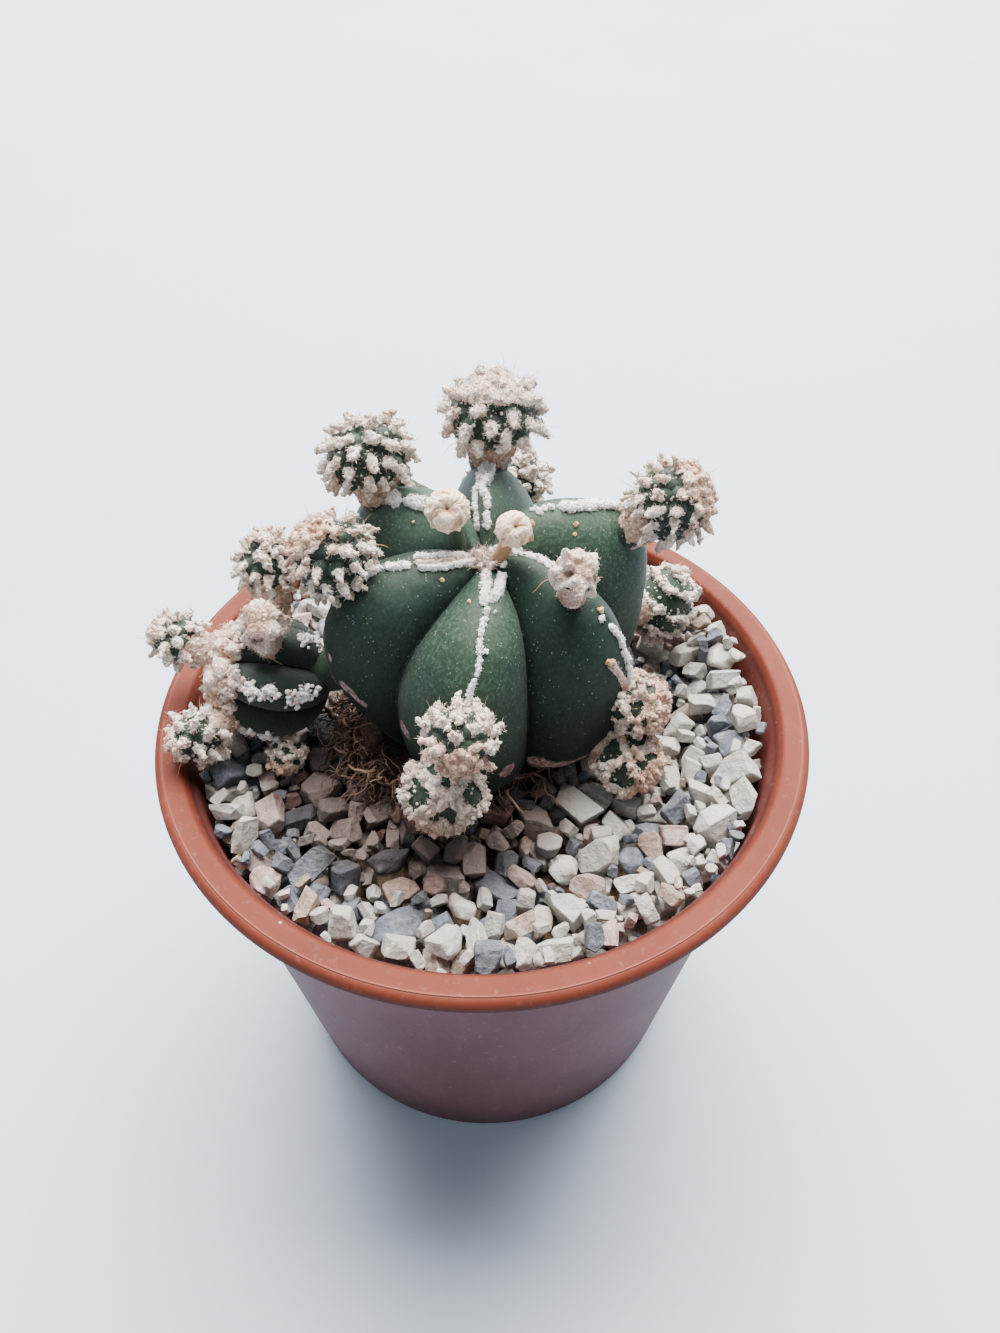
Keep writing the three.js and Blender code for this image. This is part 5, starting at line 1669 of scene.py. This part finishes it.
def make_branch():
    body = branch_skin()
    surface = Surface(mesh_from("branch_look_up", body["points"], body["faces"]))
    parts = [body, stalk((-17.0, 1.0, 77.0), BRANCH_AT, 3.6, 3.2, 9)]
    for i, (rib, start, end, width, thick, blush, chalk) in enumerate(BRANCH_WOOL):
        turn = rib * 2 * np.pi / BRANCH_RIBS
        sway = 0.06 * math.sin(2.7 * i)
        turns = np.array([turn + sway * k for k in (0, 1, -1, 0)])
        path = branch_point(np.linspace(start, end, 4), turns)
        parts.append(popcorn(surface, path, width, thick, 400 + 9 * i, blush, chalk))
    rng = np.random.default_rng(31)
    k = np.arange(PINK_LUMPS)
    a, turn = PINK_SPACING * np.sqrt(k), k * GOLDEN_ANGLE
    at = branch_point(a, turn) + rng.normal(0, 0.25, (len(k), 3))
    out = unit(at - BRANCH_AT)
    size = rng.uniform(0.5, 1.15, len(k)) * np.where(k < FIRST_LUMPS, 1.1, 0.8)
    parts.append(lumps(at + out * 0.3, unit(out + rng.normal(0, 0.5, out.shape)),
                       np.column_stack([size, size * 1.3]), 3, 520, 0.8, 0,
                       np.clip(rng.uniform(0.45, 1.0, len(k)) - 0.35 * (a > 0.7), 0, 1)))
    return coated("branch_body", parts, "cactus_skin", "branch_stem", hair=1.4, length=0.6, crumbs=0.5,
                  seed=19)

branch = make_branch()
print("branch:", len(branch.data.polygons), "faces")

# %% [markdown]
# ## Strands
# Roots, spines and dry threads are all thin lines of changing thickness. They are drawn as
# plain chains of points, and a small Geometry Nodes tree turns every chain into a curve and
# sweeps a circle along it, thinner where the radius attribute is smaller.

# %% Strand nodes
STRAND_SIDES = 5

def strand_tree(material):
    g = Nodes("strands")
    curve = g.node("GeometryNodeMeshToCurve", {}, {"Mesh": g.given("Geometry")})
    circle = g.node("GeometryNodeCurvePrimitiveCircle", {}, {"Resolution": STRAND_SIDES, "Radius": 1.0})
    swept = g.node("GeometryNodeCurveToMesh", {}, {"Curve": curve, "Profile Curve": circle,
                                                   "Scale": g.named("thick"), "Fill Caps": True})
    smooth = g.node("GeometryNodeSetShadeSmooth", {}, {"Geometry": swept})
    return g.close(smooth, material)

def make_strands(name, chains, material):
    """Chains of (points, radii in mm, tone) as one piece."""
    points, edges, thick, tone = [], [], [], []
    for line, radii, value in chains:
        start = sum(len(p) for p in points)
        points.append(line)
        edges += [(start + i, start + i + 1) for i in range(len(line) - 1)]
        thick.append(np.asarray(radii) * MM)
        tone.append(np.full(len(line), value))
    mesh = mesh_from(name, np.vstack(points), [], edges, thick=np.concatenate(thick),
                     tone=np.concatenate(tone))
    return show(name, grow(mesh, strand_tree(material), name), material, "dry_root")

def curl(rng, start, heading, length, steps, wander, sag=0.0):
    """A wandering line: its heading drifts a little at every step."""
    points, at, way = [np.asarray(start, float)], np.asarray(start, float), unit(heading)
    for _ in range(steps):
        way = unit(way + rng.normal(0, wander, 3) + (0, 0, -sag))
        at = at + way * length / steps
        points.append(at)
    return spaced(points, 0.35)

# %% [markdown]
# ## Spines
# The offsets still have the thin, weak spines of young plants, two or three millimetres long and
# golden brown with a dark foot. They stand out from the woolly tips in all directions.

# %% Spines
def strand_paint(name, dark, light, tip):
    p = Paint(name)
    tone = p.attribute("tone")
    grain = p.noise(0.8, 4, 0.6)
    colour = p.ramp(tone * 0.6 + grain * 0.4, (0.25, dark), (0.5, light), (0.8, tip))
    return p.finish(colour, 0.55 + 0.3 * grain, normal=p.bump(grain, 0.08, 0.6), specular_ior_level=0.35)

spine_paint = strand_paint("spine", (0.06, 0.035, 0.025), (0.33, 0.19, 0.085), (0.60, 0.43, 0.25))

SPINE_LENGTH, SPINE_FOOT, SPINE_POINT = (1.4, 2.8), 0.045, 0.010

def make_spines():
    rng = np.random.default_rng(77)
    chains = []
    for o in OFFSETS:
        tips, _ = tips_of(o)
        u, v, w = basis(o.faces)
        for d in tips[rng.permutation(len(tips))[:o.spines]]:
            out = d[0] * u + d[1] * v + d[2] * w
            start = np.asarray(o.at) + out * (o.radius - 0.4)
            heading = unit(out + rng.normal(0, 0.28, 3) + (0, 0, 0.15))
            line = curl(rng, start, heading, rng.uniform(*SPINE_LENGTH), 5, 0.15)
            chains.append((line, np.linspace(SPINE_FOOT, SPINE_POINT, len(line)), rng.uniform(0.1, 0.95)))
    return make_strands("offset_spines", chains, spine_paint)

spines = make_spines()
print("spines:", len(spines.data.polygons), "faces")

# %% [markdown]
# ## Roots in the shadow
# Under the left and the front of the stem, the old root crown shows above the gravel: a brown
# lump with a thatch of dry, curled fibres. The lump is a lofted body with deep noise, and the
# fibres are strands that start on it and creep outward and down.

# %% Root crown
ROOT_PROFILE = [(1.2, 24), (2.4, 30), (3.6, 40), (5.5, 50), (9.5, 57), (13.6, 62), (14.2, 64.4),
                (13.2, 66.4), (9.0, 67.0)]

ROOT_ROWS, ROOT_COLUMNS = 60, 180

def root_paint():
    p = Paint("dry_root")
    grain = p.noise(0.5, 5, 0.7)
    cloud = p.noise(2.6, 3)
    colour = p.ramp(grain * 0.6 + cloud * 0.4, (0.36, (0.008, 0.005, 0.004)),
                    (0.52, (0.036, 0.019, 0.012)), (0.72, (0.12, 0.066, 0.042)))
    return p.finish(colour, 0.95, normal=p.bump(grain + cloud, 0.8, 1.0), specular_ior_level=0.25)

def make_root_body():
    heights = np.linspace(ROOT_PROFILE[0][1], ROOT_PROFILE[-1][1], ROOT_ROWS)
    radii = np.interp(heights, [z for _, z in ROOT_PROFILE], [r for r, _ in ROOT_PROFILE])
    a = round_angles(ROOT_COLUMNS)
    wide = radii[:, None] * (1 + (root_reach(a) - 1) * smoothstep(heights, 57, 62)[:, None])
    rings = np.stack([ROOT_AXIS[0] + wide * np.cos(a), ROOT_AXIS[1] + wide * np.sin(a),
                      np.repeat(heights[:, None], len(a), 1)], -1)
    push = 0.9 * rough(rings, 3.0, 5) + 0.75 * rough(rings, 1.1, 6) + 0.4 * rough(rings, 0.55, 7)
    rings = rings + unit(rings - (*ROOT_AXIS, 60)) * (push - 0.3)[..., None]
    points, faces = loft(rings, (*ROOT_AXIS, heights[0] - 2), (*ROOT_AXIS, heights[-1] - 0.2))
    mesh = mesh_from("root_body", points, faces)
    return show("root_body", mesh, root_paint(), "dry_root", "root_crown")

FIBRES, FIBRE_LENGTH = 440, (3, 8)

def make_root_fibres():
    """Dry fibres from the crown: half of them on the left, the others in front or anywhere."""
    rng = np.random.default_rng(13)
    paint = strand_paint("root_fibre", (0.018, 0.010, 0.007), (0.085, 0.044, 0.027), (0.25, 0.155, 0.10))
    chains = []
    for i in range(FIBRES):
        az = math.radians(rng.uniform(170, 245) if i % 2 else rng.uniform(150, 330) if i % 4 else
                          rng.uniform(0, 360))
        r, z = rng.uniform(12.2, 15.2) * root_reach(az), rng.uniform(64.5, 68.8)
        start = (ROOT_AXIS[0] + r * math.cos(az), ROOT_AXIS[1] + r * math.sin(az), z)
        across = rng.normal(0, 1.1)
        heading = (math.cos(az) - across * math.sin(az), math.sin(az) + across * math.cos(az), -0.45)
        line = curl(rng, start, heading, rng.uniform(*FIBRE_LENGTH), 12, 0.42, 0.02)
        line[:, 2] = np.maximum(line[:, 2], 63.6 + 0.9 * rng.uniform())
        away = np.hypot(line[:, 0] - STEM_AXIS[0], line[:, 1] - STEM_AXIS[1])
        line[:, 2] = np.minimum(line[:, 2], 66 + np.clip(away - 13.5, 0, 5) * 1.3)
        radius = rng.uniform(0.06, 0.15) if i % 9 else rng.uniform(0.2, 0.34)
        chains.append((line, np.linspace(radius, radius * 0.45, len(line)), rng.uniform()))
    return make_strands("root_fibres", chains, paint)

root_body = make_root_body()
root_fibres = make_root_fibres()
print("roots:", len(root_body.data.polygons), "+", len(root_fibres.data.polygons), "faces")

# %% [markdown]
# ## Dried buds
# Two spent buds stand beside the growing point. Each is a ball of papery petals that closed over
# each other and crumpled, with a brown dimple where the tips meet, on a short stalk that is
# still green under the left one. The folds run from the dimple to the stalk, so the noise that
# makes them is stretched that way.

# %% Bud paint
def bud_paint():
    p = Paint("dried_flower")
    fold, dimple = p.attribute("fold"), p.attribute("dimple")
    grain = p.noise(0.3, 4, 0.6)
    colour = p.ramp(fold * 0.7 + grain * 0.3, (0.2, (0.36, 0.21, 0.10)), (0.5, (0.74, 0.53, 0.36)),
                    (0.8, (0.93, 0.77, 0.61)))
    colour = p.mix(p.cells(0.34).step(0.32, 0.6) * 0.4, colour, (0.40, 0.25, 0.13))
    colour = p.mix(p.attribute("green"), colour, p.mix(grain, (0.018, 0.040, 0.020), (0.055, 0.090, 0.045)))
    colour = p.mix(dimple, colour, (0.22, 0.10, 0.035))
    return p.finish(colour, 0.62 + 0.2 * grain, normal=p.bump(grain + fold * 0.6, 0.12, 0.7), ior=1.4,
                    subsurface_weight=0.25, subsurface_scale=0.8 * MM, sheen_weight=0.15)

bud_finish = bud_paint()

# %% Buds
BUDS = [  # side, middle, radius, foot of the stalk, where it faces, seed, petals, green of the stalk
    ("left", (-3.8, 3.8, 100.0), 2.5, (-1.7, 3.8, 92.6), (0.03, -0.72, 0.66), 3, 9, 1.0),
    ("right", (4.15, 0.8, 99.3), 2.05, (2.2, 1.8, 93.4), (0.1, -0.65, 0.75), 9, 7, 0.15),
]

def make_bud(name, at, radius, root, faces_to, seed, petals, green):
    """A ball of folded petals on its stalk, and on a stalk that is not green some dry scraps."""
    at = np.asarray(at)
    d, faces = ball(6)
    polar, around = np.arccos(np.clip(d[:, 2], -1, 1)), np.arctan2(d[:, 1], d[:, 0])
    warp = 0.5 * rough(d * 3, 1.4, seed)
    ring = np.stack([np.cos(around + warp), np.sin(around + warp)], -1) * (1.1 + 0.25 * polar[:, None])
    fold = 1 - np.abs(rough(np.column_stack([ring, polar * 0.35]), 0.42, seed + 1)) * 2.2
    fold = np.clip(fold, -0.6, 1)
    crumple = rough(d * radius, 0.55, seed + 2) * 0.6 + rough(d * radius, 0.25, seed + 3) * 0.4
    dimple = np.exp(-(polar / 0.30) ** 2)
    size = 1 - 0.36 * dimple + 0.085 * fold * smoothstep(polar, 0.12, 0.6) + 0.055 * crumple
    petal = np.abs((around * petals / (2 * np.pi) + 0.35 * warp) % 1 - 0.5) * 2
    lip = smoothstep(polar, 1.75, 2.05) * smoothstep(polar, 2.5, 2.15)
    size = size + 0.24 * lip * smoothstep(petal, 0.25, 0.95)
    size = size * (1 - 0.35 * smoothstep(polar, 2.3, 2.9))
    local = d * size[:, None] * radius
    u, v, w = basis(faces_to)
    points = at + local[:, :1] * u + local[:, 1:2] * v + local[:, 2:] * w
    parts = [{"points": points, "faces": faces},
             stalk(root, at - np.array(w) * radius * 0.5, 1.0, 0.75, seed, 20)]
    if green < 1:
        side = unit([(1, 0.1, 0.2), (1, -0.1, -0.5), (0.9, -0.5, -0.2), (0.8, 0.2, -0.8)])
        parts.append(lumps(at + side * radius * 1.08, unit(side[:, (2, 1, 0)] + (0, 0.8, 0)),
                           [(0.3, 0.6), (0.34, 0.7), (0.26, 0.5), (0.24, 0.6)], 4, seed + 5, 0.7))
    whole = welded(*parts)
    rest = np.ones(len(whole["points"]) - len(d))
    mesh = mesh_from(name, **whole, green=np.concatenate([np.zeros(len(d)), rest * green]),
                     fold=np.concatenate([np.clip(0.5 + 0.45 * fold + 0.3 * crumple, 0, 1), rest * 0.1]),
                     dimple=np.clip(np.concatenate([
                         np.exp(-(polar / 0.17) ** 2) + 0.3 * smoothstep(polar, 2.5, 3.0),
                         rest * (0.3 * (1 - green))]), 0, 1))
    return show(name + "_bud", mesh, bud_finish, "dried_flower", "dried_bud_" + name)

buds = [make_bud(*values) for values in BUDS]
print("buds:", [len(b.data.polygons) for b in buds], "faces")

# %% [markdown]
# ## Small shoots and scraps
# A green horn of a shoot looks out behind the northwest rib, and on the southeast crest stands a
# thin woolly shoot with an orange tip. A few scraps complete the skin: orange beads where old
# spines broke off.

# %% Shoots and scraps
def make_northwest_stub():
    tip = (-10.6, 20.6, 92.2)
    horn = welded(stalk((-6.2, 19.0, 89.0), tip, 1.9, 1.0, 4), tuft(tip, 1.02, 8, lumpy=0.1))
    line = spaced([(-8.6, 18.9, 91.9), (-9.8, 19.6, 92.8), (-11.2, 20.6, 93.0)], 0.3)
    beads = [tuft(p, 0.45, 600 + i, 3, blush=0.2, lumpy=0.5) for i, p in enumerate(line[::2])]
    return coated("northwest_stub", [horn, *beads], "cactus_skin", "stub_northwest", hair=8, length=0.4,
                  crumbs=0, seed=5)

def make_side_shoot():
    foot = skin("southeast", 0.476, 0.0)
    tip = np.array((15.9, -8.4, 85.3))
    # The shoot carries a little painted shade.
    wool = stalk(foot - (0, 0, 0.5), tip, 0.72, 0.62, 6, 20, wool=1.0, blush=0.6, deep=0.1)
    collar = tuft(foot, 1.0, 640, blush=0.1, lumpy=0.5)
    return coated("side_shoot", [wool, collar], "offset_wool", hair=12, length=0.4, seed=6)

BEADS = [  # rib, t, u, radius in mm
    ("southeast", 0.249, -0.02, 0.42), ("northeast", 0.135, -0.45, 0.36),
    ("northeast", 0.150, -0.60, 0.24), ("west", 0.080, 0.62, 0.30), ("northwest", 0.140, 0.62, 0.26),
    ("south", 0.10, -0.50, 0.26), ("southeast", 0.115, 0.55, 0.26),
]

def make_beads():
    """Small corky beads and crumbs on the skin, with the orange tip of the side shoot."""
    parts = [tuft(skin(rib, t, u), r, 700 + i, lumpy=0.35) for i, (rib, t, u, r) in enumerate(BEADS)]
    tip = np.array((15.8, -8.5, 85.6))
    parts += [tuft(tip + way, 0.42, 720 + i, lumpy=0.4)
              for i, way in enumerate(((0.25, 0.1, 0.1), (-0.3, 0, 0.15), (0, -0.25, 0.3)))]
    p = Paint("orange_bead")
    grain = p.noise(0.4, 3)
    colour = p.ramp(grain, (0.35, (0.30, 0.13, 0.05)), (0.55, (0.66, 0.40, 0.16)),
                    (0.7, (0.80, 0.62, 0.40)))
    mesh = mesh_from("skin_beads", **welded(*parts))
    return show("skin_beads", mesh, p.finish(colour, 0.6), "dried_flower")

stub, shoot, beads = make_northwest_stub(), make_side_shoot(), make_beads()
print("small pieces:", [o.name for o in (stub, shoot, beads)])
